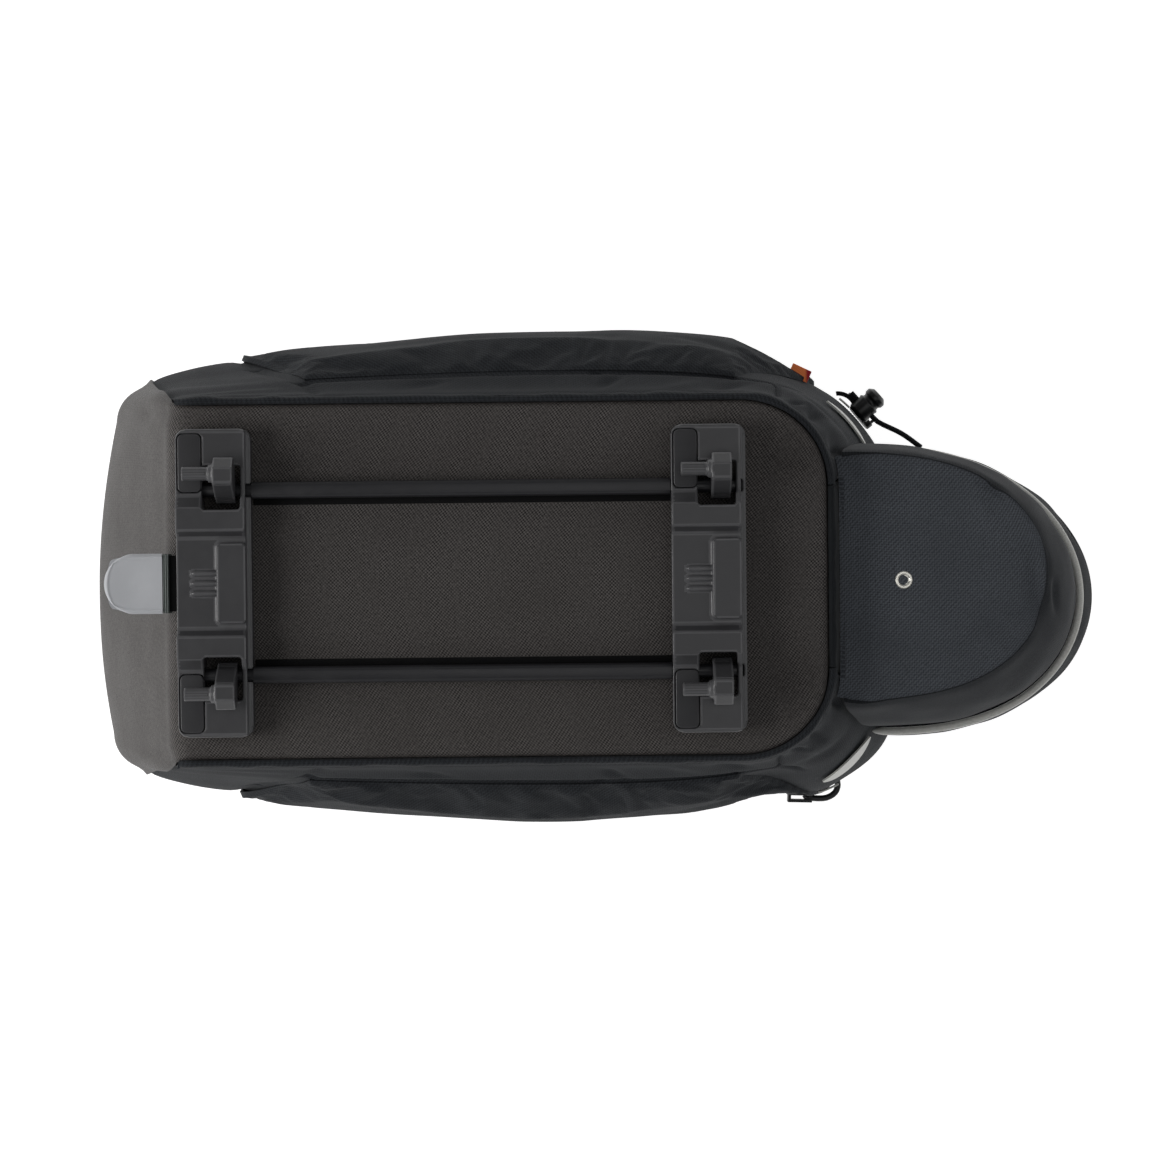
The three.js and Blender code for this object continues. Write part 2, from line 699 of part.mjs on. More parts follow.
const pipingGap = pipingRadius + gap;
const hemDepth = rimDepth + hemRadius + gap;
addMesh('tail_bottom', tailFloor(), 'cloth');
addMesh('tail_lower_band', tailBand(
  { row: floorRow, root: floorRootDepth + tailCloth + gap, end: floorEndDepth + tailCloth + gap },
  { row: pipingRow, root: pipingDepth - pipingGap, end: pipingDepth - pipingGap }, 3), 'cloth');
addMesh('tail_piping', tailCord(pipingRow, pipingDepth, pipingRadius, 6, 0), 'reflective');
addMesh('tail_upper_band', tailBand(
  { row: pipingRow, root: pipingDepth + pipingGap, end: pipingDepth + pipingGap },
  { row: rimRow, root: rimDepth, end: rimDepth }, 2), 'cloth');
addMesh('tail_hem', tailCord(rimRow, hemDepth, hemRadius, 6, -tailCloth / 2), 'smooth');

// The point where the pocket's floor carries the eyelet, and how steeply the floor falls there
const floorStart = tailPoint(floorRow, floorRootDepth, floorEndDepth, -Math.PI / 2).x;
const floorReach = tailPoint(floorRow, floorRootDepth, floorEndDepth, 0).x - floorStart;
const floorSlope = (floorEndDepth - floorRootDepth) / floorReach;
const eyeletZ = bodyHeight - floorRootDepth - floorSlope * (eyeletX - floorStart);

function eyeletRing() {
  const profile = [
    [eyeletHole, 0.2 * eyeletFlange], [eyeletHole, -eyeletLength], [eyeletBarrel, -eyeletLength],
    [eyeletBarrel, 0], [eyeletOuter, 0], [0.2 * eyeletHole + 0.8 * eyeletOuter, eyeletFlange],
    [0.6 * eyeletHole + 0.4 * eyeletOuter, eyeletFlange], [eyeletHole, 0.2 * eyeletFlange],
  ];
  return new THREE.LatheGeometry(profile.map(([r, y]) => new THREE.Vector2(r, y)), 16).rotateX(Math.PI / 2);
}

const eyelet = addMesh('drain_eyelet', eyeletRing(), 'nickel');
eyelet.position.set(eyeletX, eyeletY, eyeletZ + gap);
eyelet.rotation.y = Math.atan(floorSlope);

// Rack adapter: two cross bars, each with a rail seat, a hump and a slot at both ends

const adapterZ = bodyHeight + gap;
const shaftZ = adapterZ + shaftHeight;
const slotFrom = slotX - slotWidth / 2;
const slotTo = slotX + slotWidth / 2;

// Turns an outline drawn in (y, z) and extruded along its own z into a body along X
const alongX = new THREE.Matrix4().makeBasis(vec(0, 1, 0), vec(0, 0, 1), vec(1, 0, 0));

function barProfile() {
  const half = [
    [barLength / 2, 0], [barLength / 2, seatHeight - 1], [barLength / 2 - 1, seatHeight],
    [seatInner, seatHeight], [humpOuter, humpHeight], [humpInner, humpHeight], [middleHalf, middleHeight],
  ];
  const mirrored = half.toReversed().map(([y, z]) => [-y, z]);
  return [...half, ...mirrored].map(([y, z]) => new THREE.Vector2(y, z));
}

function crossBar(x, boreFrom, boreTo) {
  const profile = plate(barProfile(), barWidth).applyMatrix4(alongX);
  profile.translate(x - barWidth / 2, 0, adapterZ);
  const outline = plate(roundedOutline(barWidth, barLength, barCorner), humpHeight);
  outline.translate(x, 0, adapterZ);
  let bar = toSolid(profile).intersect(toSolid(outline));
  const skirtZ = adapterZ + seatHeight - skirtDrop;
  const [skirtFrom, skirtTo] = [x + barWidth / 2 - skirtWidth, x + barWidth];
  bar = bar.subtract(boxSolid(vec(skirtFrom, -barLength, skirtZ), vec(skirtTo, barLength, 2 * skirtZ)));
  for (const side of [1, -1]) {
    const slotY = side * (shaftY + slotShift);
    const slotLow = vec(x + slotFrom, slotY - slotLength / 2, 0);
    const slotHigh = vec(x + slotTo, slotY + slotLength / 2, 2 * adapterZ);
    bar = bar.subtract(boxSolid(slotLow, slotHigh));
    bar = bar.subtract(barSolid(journalRadius + gap, x + boreFrom, x + boreTo, side * shaftY, shaftZ));
    const bedOutline = roundedOutline(padWidth + 2 * gap, padLength + 2 * gap, padCorner);
    const bedZ = adapterZ + seatHeight - padDepth;
    const bed = plate(bedOutline, padDepth + 1).translate(x + padX, side * padMiddle, bedZ);
    bar = bar.subtract(toSolid(bed));
  }
  const rise = middleHeight - 1;
  const ribOutline = roundedOutline(ribLength, ribWidth, 0.3 * ribWidth, 1);
  const ribs = spread(ribCount, -ribSpacing, ribSpacing).map((y) => (
    plate(ribOutline, ribRise + 1).translate(x + ribX, y, adapterZ + rise)));
  const block = plate(roundedOutline(blockWidth, blockLength, 1, 1), blockRise + 1);
  block.translate(x + blockX, 0, adapterZ + rise);
  return [...ribs, block].reduce((sum, part) => sum.add(toSolid(part)), bar);
}

const bores = {
  front: { from: slotFrom - journalDepth, to: barWidth },
  rear: { from: -barWidth, to: slotTo + journalDepth / 2 },
};

function tabOutline(extra) {
  const from = -tabReach - extra;
  const round = tabWidth / 2;
  const arc = spread(9, Math.PI / 2, 1.5 * Math.PI).map((angle) => (
    new THREE.Vector2(from + round * (1 + 0.75 * Math.cos(angle)) - 0.25 * round, round * Math.sin(angle))));
  return [new THREE.Vector2(tabTongue, -round), new THREE.Vector2(tabTongue, round), ...arc];
}

// The thumb recess and the grooves, as shares of the tab's width and reach
const thumbLength = 0.4;
const thumbWidth = 0.32;
const thumbPlace = 0.62;
const groovePlaces = [0.08, 0.18, 0.28];
const grooveSize = 0.5;

function releaseTab() {
  let tab = toSolid(plate(tabOutline(0), tabThickness));
  const thumb = new THREE.SphereGeometry(tabWidth, 24, 16).scale(thumbLength, thumbWidth, 1);
  tab = tab.subtract(toSolid(thumb.translate(-thumbPlace * tabReach, 0, tabThickness + tabWidth - tabGrip)));
  for (const groove of groovePlaces) {
    const x = -groove * tabReach;
    const low = vec(x - grooveSize, -tabWidth, tabThickness - grooveSize);
    tab = tab.subtract(boxSolid(low, vec(x + grooveSize, tabWidth, 2 * tabThickness)));
  }
  return toGeometry(tab);
}

const tabZ = adapterZ + tabHeight;
const tabX = frontBarX - barWidth / 2;
const channelFrom = vec(tabX - 1, -tabWidth / 2 - gap, tabZ - gap);
const channelTo = vec(tabX + tabTongue + gap, tabWidth / 2 + gap, tabZ + tabThickness + gap);
const frontBar = crossBar(frontBarX, bores.front.from, bores.front.to)
  .subtract(boxSolid(channelFrom, channelTo));
addMesh('front_bracket', toGeometry(frontBar), 'plastic');
addMesh('rear_bracket', toGeometry(crossBar(rearBarX, bores.rear.from, bores.rear.to)), 'plastic');
addMesh('release_tab', releaseTab(), 'tab').position.set(tabX, 0, tabZ);

function shaft() {
  const [from, to] = [frontBarX + bores.front.from + gap, rearBarX + bores.rear.to - gap];
  const [openFrom, openTo] = [frontBarX + barWidth / 2 + gap, rearBarX - barWidth / 2 - gap];
  const body = plate(roundedOutline(shaftWide, shaftTall, 0.3 * shaftTall), openTo - openFrom);
  return toGeometry(toSolid(body.applyMatrix4(alongX).translate(openFrom, 0, 0))
    .add(barSolid(journalRadius, from, to, 0, 0)));
}

function hook(side) {
  const outline = [
    [-0.9 * hubRadius, 0], [-0.5 * hubRadius, headBase], [headInner, headTop - 1], [headInner + 1, headTop],
    [headOuter - 4, headTop], [headOuter, headTop - 5], [headOuter, headBase + 1],
    [headOuter - 2, headBase - 1], [0.9 * hubRadius, 0],
  ].map(([y, z]) => new THREE.Vector2(side * y, z));
  const head = plate(side > 0 ? outline.toReversed() : outline, hookWidth).applyMatrix4(alongX);
  const pinY = side * pinOut;
  const sum = toSolid(head)
    .add(barSolid(hubRadius, 0, hookWidth, 0, 0))
    .add(barSolid(pinRadius, 1 - pinReach, 1, pinY, pinHeight))
    .add(barSolid(pinCollar, -pinCollarLength, 1, pinY, pinHeight))
    .subtract(barSolid(journalRadius + gap, -1, hookWidth + 1, 0, 0));
  return toGeometry(sum);
}

for (const [sideName, side] of [['left', 1], ['right', -1]]) {
  addMesh(`${sideName}_shaft`, shaft(), 'shaft').position.set(0, side * shaftY, shaftZ);
  for (const [barName, barX] of [['front', frontBarX], ['rear', rearBarX]]) {
    const hookMesh = addMesh(`${barName}_${sideName}_hook`, hook(side), 'plastic');
    hookMesh.position.set(barX + hookX - hookWidth / 2, side * shaftY, shaftZ);
    const pad = plate(roundedOutline(padWidth, padLength, padCorner), padDepth - gap + padProud);
    const padZ = adapterZ + seatHeight - padDepth + gap;
    addMesh(`${barName}_${sideName}_pad`, pad, 'rubber').position.set(barX + padX, side * padMiddle, padZ);
  }
}

// Zip slider and pulls, cord lock, drawcord and label

// Puts a mesh on the wall: its +X along the outline to the rear, its +Z out of the wall
function seatOnWall(mesh, depth, place, side, lift) {
  const spot = (at, distance) => wallPoint(depth, at, distance, side);
  const along = spot(place + 0.02, lift).sub(spot(place - 0.02, lift)).normalize();
  const out = spot(place, lift + 1).sub(spot(place, lift)).normalize();
  const across = out.clone().cross(along).normalize();
  mesh.quaternion.setFromRotationMatrix(new THREE.Matrix4().makeBasis(along, across, out.clone()));
  mesh.position.copy(wallPoint(depth, place, lift, side));
  return mesh;
}

function zipSlider() {
  const body = plate(roundedOutline(sliderLength, sliderWidth, 0.3 * sliderWidth), sliderThickness);
  const [half, wide] = [bridgeSpan / 2 + bridgeBar, bridgeWidth / 2];
  const top = sliderThickness + bridgeRise;
  const bridge = boxSolid(vec(-half, -wide, sliderThickness / 2), vec(half, wide, top));
  const mouthFrom = vec(bridgeBar - half, -bridgeWidth, sliderThickness);
  const mouth = boxSolid(mouthFrom, vec(half - bridgeBar, bridgeWidth, top - bridgeBar));
  return toGeometry(toSolid(body).add(bridge.subtract(mouth)));
}

function zipPull(length, way) {
  const bar = 0.8 * pullBar;
  const outline = roundedOutline(length, pullWidth, 0.45 * pullWidth);
  const hole = roundedOutline(length - 2 * bar, pullWidth - 2 * bar, 0.4 * (pullWidth - 2 * bar));
  return plate(outline, pullBar, [hole]).translate(way * (length / 2 - pullBar), 0, 0);
}

const zipLift = wallCloth / 2 + 2 * gap;
const pullLift = zipLift + sliderThickness + gap;
const sliders = [
  { name: 'left', side: 1, place: 3.46, length: 0.7 * pullLength, way: -1 },
  { name: 'right', side: -1, place: 2.95, length: 1.2 * pullLength, way: 1 },
];
for (const { name, side, place, length, way } of sliders) {
  seatOnWall(addMesh(`${name}_zip_slider`, zipSlider(), 'zip'), zipDepth, place, side, zipLift);
  seatOnWall(addMesh(`${name}_zip_pull`, zipPull(length, way), 'zip'), zipDepth, place, side, pullLift);
}

const lockOverZip = 14;
const lockDepth = zipTop - lockOverZip;
const lockPlace = 3.42;
const lockLift = 1;
const cordHeight = 0.36 * lockLength;

function cordLock() {
  const profile = [
    [0, 0], [0.8 * lockRadius, 0], [lockRadius, 0.1], [lockRadius, 0.55], [lockWaist, 0.6],
    [lockWaist, 0.68], [0.95 * lockRadius, 0.74], [0.95 * lockRadius, 0.88], [0.6 * lockRadius, 1], [0, 1],
  ];
  const points = profile.map(([radius, share]) => new THREE.Vector2(radius, share * lockLength));
  const body = toSolid(new THREE.LatheGeometry(points, 16).rotateX(Math.PI / 2));
  const hole = barSolid(cordRadius + 2 * gap, -2 * lockRadius, 2 * lockRadius, 0, cordHeight, 10);
  return toGeometry(body.subtract(hole));
}

seatOnWall(addMesh('cord_lock', cordLock(), 'zip'), lockDepth, lockPlace, 1, lockLift);

// Where the drawcord runs, from its end in front of the lock to the hem of the bottle pocket
function drawcordPoints() {
  const lift = lockLift + cordHeight;
  const frame = seatOnWall(new THREE.Object3D(), lockDepth, lockPlace, 1, lift);
  const along = vec(1, 0, 0).applyQuaternion(frame.quaternion);
  const through = [-1.7, -0.8, 0, 0.8, 1.5].map((share) => (
    frame.position.clone().addScaledVector(along, share * lockRadius)));
  const turn = -1.42;
  const end = tailPoint(rimRow, hemDepth, hemDepth, turn, hemRadius + cordRadius - tailCloth / 2);
  const middle = through.at(-1).clone().lerp(end, 0.55).add(vec(0.6, 0.6, 0));
  return [...through, middle, end];
}

function cordTube(points, radius, sides, steps) {
  const curve = new THREE.CatmullRomCurve3(points, false, 'centripetal');
  const up = vec(0, 0, 1);
  return loft(range(steps + 1).map((step) => {
    const tangent = curve.getTangentAt(step / steps);
    const across = up.clone().cross(tangent).normalize();
    const over = tangent.clone().cross(across);
    return range(sides).map((side) => {
      const angle = (side / sides) * 2 * Math.PI;
      const point = curve.getPointAt(step / steps).addScaledVector(across, radius * Math.cos(angle));
      return point.addScaledVector(over, radius * Math.sin(angle));
    });
  }));
}

addMesh('pocket_drawcord', cordTube(drawcordPoints(), cordRadius, 8, 14), 'zip');

const label = new THREE.BoxGeometry(labelLength, trimCloth, labelReach).translate(0, 0, labelReach / 2);
seatOnWall(addMesh('side_label', label, 'label'), labelDepth, labelPlace, 1, gap);

export default bag;
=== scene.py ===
import json
import math
from functools import lru_cache
import bpy
from mathutils import Matrix, Vector, noise


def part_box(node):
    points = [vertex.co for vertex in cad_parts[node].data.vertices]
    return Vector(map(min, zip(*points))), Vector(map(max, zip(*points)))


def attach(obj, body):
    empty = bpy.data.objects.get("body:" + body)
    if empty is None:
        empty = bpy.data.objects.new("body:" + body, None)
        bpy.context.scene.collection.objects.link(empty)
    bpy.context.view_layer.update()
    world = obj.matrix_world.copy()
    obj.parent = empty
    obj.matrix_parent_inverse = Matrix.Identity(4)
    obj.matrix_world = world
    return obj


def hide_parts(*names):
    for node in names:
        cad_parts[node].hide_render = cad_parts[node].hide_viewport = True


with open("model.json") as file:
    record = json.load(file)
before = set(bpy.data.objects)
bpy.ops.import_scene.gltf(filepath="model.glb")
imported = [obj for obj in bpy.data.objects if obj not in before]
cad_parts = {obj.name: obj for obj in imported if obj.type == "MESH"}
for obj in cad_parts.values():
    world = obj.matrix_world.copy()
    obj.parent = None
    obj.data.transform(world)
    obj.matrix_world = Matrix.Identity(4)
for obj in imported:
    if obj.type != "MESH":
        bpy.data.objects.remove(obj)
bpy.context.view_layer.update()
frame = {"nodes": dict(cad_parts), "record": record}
nodes = frame["nodes"]
mm = 0.001


# Camera, floor and light

cameraSetup = dict(target=(-0.0048, -0.0004, 0.200), distance=1.5, tilt=1.3, roll=-0.6, lens=119.0,
                   sensor=36.0)
floorSetup = dict(size=6.0, color=(196, 196, 196), glow=0.88)
lightSetup = [
    # name, place, size, power, colour
    ("frontWindow", (-1.08, -0.08, 0.76), (0.8, 0.6), 10.0, (1.0, 0.99, 0.98)),
    ("leftWindow", (0.1, 1.35, 1.05), (2.2, 0.9), 1.9, (1.0, 1.0, 1.0)),
    ("rightWindow", (0.1, -1.35, 1.05), (2.2, 0.9), 3.5, (0.97, 0.985, 1.0)),
    ("rearWindow", (1.3, 0.15, 0.95), (0.9, 0.7), 2.6, (1.0, 1.0, 1.0)),
    ("ceiling", (0.4, 0.0, 2.3), (1.2, 1.2), 5.0, (1.0, 1.0, 1.0)),
]
worldSetup = dict(color=(1.0, 1.0, 1.0, 1), strength=0.1)


def deselectAll():
    if bpy.context.object and bpy.context.object.mode != "OBJECT":
        bpy.ops.object.mode_set(mode="OBJECT")
    bpy.ops.object.select_all(action="DESELECT")


def activate(piece):
    deselectAll()
    piece.select_set(True)
    bpy.context.view_layer.objects.active = piece


def buildCamera():
    s = cameraSetup
    target = Vector(s["target"])
    tilt = math.radians(s["tilt"])
    place = target + s["distance"] * Vector((0, math.sin(tilt), math.cos(tilt)))
    bpy.ops.object.camera_add(location=place)
    camera = bpy.context.object
    camera.name = "photoCamera"
    camera.data.lens = s["lens"]
    camera.data.sensor_width = s["sensor"]
    camera.data.clip_end = 20
    back = (place - target).normalized()
    right = Vector((0, 1, 0)).cross(back).normalized()
    turned = Matrix((right, back.cross(right), back)).transposed().to_4x4()
    roll = Matrix.Rotation(math.radians(s["roll"]), 4, "Z")
    camera.matrix_world = Matrix.Translation(place) @ turned @ roll
    bpy.context.scene.camera = camera


def buildLights():
    for name, place, size, power, color in lightSetup:
        bpy.ops.object.light_add(type="AREA", location=place)
        light = bpy.context.object
        light.name = name
        light.data.shape = "RECTANGLE"
        light.data.size = size[0] if abs(place[0]) < 1 else size[1]
        light.data.size_y = size[1] if abs(place[0]) < 1 else size[0]
        light.data.energy = power
        light.data.color = color
        light.rotation_euler = (Vector(place) - Vector((0, 0, 0.1))).to_track_quat("Z", "Y").to_euler()
    world = bpy.data.worlds.new("studio")
    world.use_nodes = True
    backdrop = world.node_tree.nodes["Background"]
    backdrop.inputs["Color"].default_value = worldSetup["color"]
    backdrop.inputs["Strength"].default_value = worldSetup["strength"]
    bpy.context.scene.world = world


# Materials: values of a shader that add and multiply as numbers do


class Value:
    def __init__(self, finish, socket):
        self.finish = finish
        self.socket = socket

    def math(self, operation, *others):
        sources = {index: other for index, other in enumerate([self, *others])}
        return self.finish.node("ShaderNodeMath", dict(operation=operation), sources)

    def __add__(self, other):
        return self.math("ADD", other)

    __radd__ = __add__

    def __sub__(self, other):
        return self.math("SUBTRACT", other)

    def __mul__(self, other):
        return self.math("MULTIPLY", other)

    def sine(self):
        return self.math("SINE")

    def absolute(self):
        return self.math("ABSOLUTE")

    def clamped(self, low=0.0, high=1.0):
        return self.math("MAXIMUM", low).math("MINIMUM", high)


class Finish:
    def __init__(self, name, color, roughness, **constants):
        self.material = bpy.data.materials.new(name)
        self.material.use_nodes = True
        self.tree = self.material.node_tree
        self.shader = self.tree.nodes["Principled BSDF"]
        self.color = (*[linear(channel) for channel in color], 1)
        self.shader.inputs["Base Color"].default_value = self.color
        self.shader.inputs["Roughness"].default_value = roughness
        for socket, value in constants.items():
            self.shader.inputs[socket.replace("_", " ")].default_value = value

    def node(self, kind, settings=None, sources=None, output=0):
        made = self.tree.nodes.new(kind)
        for key, value in (settings or {}).items():
            setattr(made, key, value)
        for key, value in (sources or {}).items():
            if isinstance(value, Value):
                self.tree.links.new(value.socket, made.inputs[key])
            else:
                made.inputs[key].default_value = value
        return Value(self, made.outputs[output])

    def feed(self, socket, value):
        self.tree.links.new(value.socket, self.shader.inputs[socket])

    def objectPoint(self):
        return self.node("ShaderNodeTexCoord", output="Object")

    def pieceUv(self):
        return self.node("ShaderNodeUVMap", dict(uv_map="UVMap"))

    def axes(self, point):
        split = self.node("ShaderNodeSeparateXYZ", None, {"Vector": point})
        return [Value(self, output) for output in split.socket.node.outputs]

    def noise(self, point, scale, detail=3.0, roughness=0.55):
        return self.node("ShaderNodeTexNoise", None, {
            "Vector": point, "Scale": scale, "Detail": detail, "Roughness": roughness})

    def mix(self, amount, low, high, blend="MIX"):
        made = self.node("ShaderNodeMix", dict(data_type="RGBA", blend_type=blend), {0: amount})
        node = made.socket.node
        for index, shade in ((6, low), (7, high)):
            if isinstance(shade, Value):
                self.tree.links.new(shade.socket, node.inputs[index])
            else:
                node.inputs[index].default_value = shade
        return Value(self, node.outputs[2])

    def bump(self, height, strength, distance):
        sources = {"Strength": strength, "Distance": distance, "Height": height}
        made = self.node("ShaderNodeBump", None, sources)
        self.tree.links.new(made.socket, self.shader.inputs["Normal"])


def linear(channel):
    share = channel / 255
    return share / 12.92 if share <= 0.04045 else ((share + 0.055) / 1.055) ** 2.4


def tone(color):
    return (*[linear(channel) for channel in color], 1)


finishes = {}
labelSetup = dict(redFrom=89.5 * mm, shift=(-3 * mm, 1.4 * mm, 0))
coatingSetup = dict(color=(47, 45, 44), light=(102, 98, 96), dark=(15, 14, 14), worn=(54, 51, 49),
                    pitch=1.4 * mm, depth=0.26 * mm, coarseLine=0.083, fineLine=0.217)


def embossedCoating():
    s = coatingSetup
    f = Finish("embossedCoating", s["color"], 0.5, Specular_IOR_Level=0.16)
    u, v, _ = f.axes(f.pieceUv())
    turn = 2 * math.pi / s["pitch"]
    across = (u * turn).sine()
    along = (v * turn).sine()
    diamond = across * along
    haze = f.noise(f.objectPoint(), 38.0, 4.0)
    coarse = (v * (turn * s["coarseLine"])).sine()
    fine = (v * (turn * s["fineLine"])).sine()
    lines = (coarse + fine) * 0.2 + 0.75
    grit = f.noise(f.objectPoint(), 900.0, 2.0)
    share = (diamond * lines * 0.5 + 0.42 + (grit - 0.5) * 0.7).clamped()
    shade = f.mix(share, tone(s["dark"]), tone(s["light"]))
    worn = f.mix((haze * 0.8 - 0.3).clamped(), shade, tone(s["worn"]))
    f.feed("Base Color", worn)
    f.feed("Roughness", (haze * 0.18 + 0.46 - diamond * 0.06).clamped(0.3, 0.8))
    f.bump(diamond * 0.5 + grit * 0.3, 0.8, s["depth"])
    finishes["coated"] = f.material


def wovenCloth(name, slot, color, light, dark, pitch, depth, contrast, sheen, mapped):
    f = Finish(name, color, 0.85, Specular_IOR_Level=0.12, Sheen_Weight=sheen, Sheen_Roughness=0.45)
    u, v, w = f.axes(f.pieceUv() if mapped else f.objectPoint())
    turn = math.pi / (pitch * mm)
    if not mapped:
        u, v = u + w, v - w
    warp = (u * turn).sine().absolute()
    weft = (v * turn).sine().absolute()
    twill = ((u + v) * turn).sine()
    thread = (warp * 0.5 + weft * 0.5) * 0.75 + twill * 0.25
    haze = f.noise(f.objectPoint(), 30.0, 4.0)
    fibre = f.noise(f.objectPoint(), 1600.0, 2.0)
    share = (thread * contrast + (fibre - 0.5) * 0.9 + 0.25).clamped()
    shade = f.mix(share, tone(dark), tone(light))
    faded = f.mix((haze - 0.42).clamped() * 1.2, shade, tone(color))
    f.feed("Base Color", faded)
    f.feed("Roughness", (haze * 0.2 + 0.74).clamped(0.6, 0.95))
    f.bump(thread + fibre * 0.4, 0.8, depth * mm)
    finishes[slot] = f.material


def reflectiveTape():
    f = Finish("reflectiveTape", (150, 150, 147), 0.38, Specular_IOR_Level=0.5)
    u, v, _ = f.axes(f.pieceUv())
    turn = 2 * math.pi / (0.9 * mm)
    beads = (u * turn).sine() * (v * turn).sine()
    grit = f.noise(f.objectPoint(), 1100.0, 2.0)
    share = (beads * 0.2 + grit).clamped()
    f.feed("Base Color", f.mix(share, tone((162, 162, 158)), tone((204, 204, 199))))
    f.feed("Roughness", (grit * 0.3 + 0.28).clamped())
    f.bump(beads * 0.5 + grit, 0.35, 0.05 * mm)
    finishes["reflective"] = f.material


def mouldedPlastic(name, slot, color, light, roughness, grain, specular):
    f = Finish(name, color, roughness, Specular_IOR_Level=specular)
    point = f.objectPoint()
    haze = f.noise(point, 55.0, 4.0)
    fine = f.noise(point, 2600.0, 2.0)
    scuff = f.noise(point, 210.0, 6.0, 0.7)
    share = ((haze - 0.4) * 0.9 + (scuff - 0.5) * 0.5).clamped()
    f.feed("Base Color", f.mix(share, tone(color), tone(light)))
    f.feed("Roughness", (roughness + (haze - 0.5) * 0.2 + (scuff - 0.5) * 0.25).clamped(0.12, 0.9))
    f.bump(fine + scuff * 0.3, 0.35, grain * mm)
    finishes[slot] = f.material


def polishedNickel():
    f = Finish("polishedNickel", (232, 230, 224), 0.28, Metallic=0.6)
    point = f.objectPoint()
    brushed = f.noise(point, 1500.0, 3.0)
    stain = f.noise(point, 260.0, 4.0)
    f.feed("Base Color", f.mix((stain - 0.35).clamped(), tone((236, 234, 226)), tone((206, 200, 186))))
    f.feed("Roughness", (brushed * 0.16 + stain * 0.12 + 0.12).clamped())
    f.bump(brushed, 0.12, 0.03 * mm)
    finishes["nickel"] = f.material


def labelWeave():
    f = Finish("labelWeave", (232, 80, 44), 0.6, Specular_IOR_Level=0.25)
    x, y, z = f.axes(f.objectPoint())
    turn = math.pi / (0.5 * mm)
    rib = ((x + y) * turn).sine() * (z * turn).sine()
    edge = ((x - labelSetup["redFrom"]) * 900.0).clamped()
    body = f.mix((rib * 0.3 + 0.5).clamped(), tone((255, 112, 56)), tone((255, 164, 100)))
    f.feed("Base Color", f.mix(edge, body, tone((168, 20, 40))))
    f.bump(rib, 0.3, 0.05 * mm)
    finishes["label"] = f.material


cloths = [
    # name, slot, color, light, dark, pitch and depth in mm, contrast, sheen, follows the piece's map
    ("sidePolyester", "cloth", (30, 32, 35), (52, 55, 59), (12, 13, 15), 0.95, 0.16, 0.55, 0.02, True),
    ("tailPolyester", "tailCloth", (58, 61, 65), (94, 98, 104), (30, 32, 36), 0.95, 0.12, 0.65, 0.05, True),
    ("smoothNylon", "smooth", (30, 32, 35), (40, 43, 46), (20, 22, 24), 0.45, 0.06, 0.3, 0.05, True),
    ("bandNylon", "bandCloth", (40, 42, 45), (58, 60, 64), (25, 27, 29), 0.6, 0.08, 0.4, 0.05, True),
    ("zipTape", "zipTape", (20, 21, 23), (30, 32, 34), (11, 12, 13), 0.6, 0.1, 0.5, 0.05, True),
    ("cordBraid", "braid", (20, 21, 23), (40, 42, 45), (8, 9, 10), 0.7, 0.16, 0.7, 0.05, False)]
plastics = [
    # name, slot, color, light, roughness, grain in mm, specular
    ("bracketPlastic", "plastic", (54, 54, 56), (66, 66, 68), 0.4, 0.05, 0.4),
    # A lighter copy of the bracket plastic: painted highlight for the eased edges and the ribs.
    ("bracketEdge", "plasticEdge", (76, 76, 78), (92, 92, 94), 0.34, 0.05, 0.4),
    ("shaftPlastic", "shaft", (32, 32, 35), (44, 44, 47), 0.4, 0.05, 0.4),
    # A lighter copy of the shaft plastic: painted highlight for the shafts' eased edges.
    ("shaftEdge", "shaftEdge", (42, 42, 45), (56, 56, 59), 0.34, 0.05, 0.4),
    ("zipPlastic", "zip", (14, 15, 17), (26, 27, 29), 0.34, 0.05, 0.4),
    ("gripRubber", "rubber", (48, 48, 50), (58, 58, 60), 0.6, 0.08, 0.25),
    # Near-black finish used as painted shadow: on the tab's neck under the bracket and on the strips beside the
    # shafts.
    ("shadowRubber", "black", (12, 12, 13), (18, 18, 19), 0.8, 0.08, 0.1),
    ("tabPlastic", "tab", (172, 174, 178), (184, 186, 190), 0.42, 0.04, 0.4),
    ("tabEdge", "tabEdge", (84, 90, 88), (104, 110, 108), 0.45, 0.04, 0.4)]


def buildFinishes():
    embossedCoating()
    for row in cloths:
        wovenCloth(*row)
    reflectiveTape()
    for row in plastics:
        mouldedPlastic(*row)
    polishedNickel()
    labelWeave()


# The bag's form, from the same sizes as its solids

def inMm(**sizes):
    return {name: size * mm for name, size in sizes.items()}


bothSides = (("left", 1), ("right", -1))
middle = (-0.03, 0, 0.1)
body = dict(cornerSoftness=0.35, **inMm(
    height=200, frontX=-165.5, rearX=93.5, baseHalf=70.5, edgeRoll=5, rearCorner=35, widestX=-5,
    frontLean=43.5, noseSwell=10, sideSwell=21.5, backSwell=16, rearLean=35.5, frontBow=7, frontSkew=1.5,
    skewReach=60, frontEdge=2, frontCorner=13, zipTop=146, zipWidth=8, pocketTop=30, pocketDepth=108,
    pocketSwell=8.2, gap=0.3, baseCloth=3, wallCloth=2.4, lidCloth=4, dentSink=2.2, cornerFill=4.6))
bodyRows = [
    # depth share, then shares of the front, nose, side, back and rear growth
    (0.025, 0, 0, 0, 0, 0), (0.15, 0.27, 0.52, 0.56, 0.5, 0.27), (0.3, 0.56, 0.68, 0.81, 0.71, 0.55),
    (0.5, 0.88, 0.88, 0.97, 0.94, 0.87), (0.65, 1, 1, 1, 1, 1), (0.76, 1, 0.97, 0.97, 0.98, 0.99),
    (0.86, 0.93, 0.78, 0.88, 0.85, 0.9), (0.93, 0.72, 0.41, 0.6, 0.51, 0.64),
    (0.975, 0.34, -0.22, 0.1, -0.14, 0.22), (1, -0.1, -1.03, -0.55, -1, -0.36)]
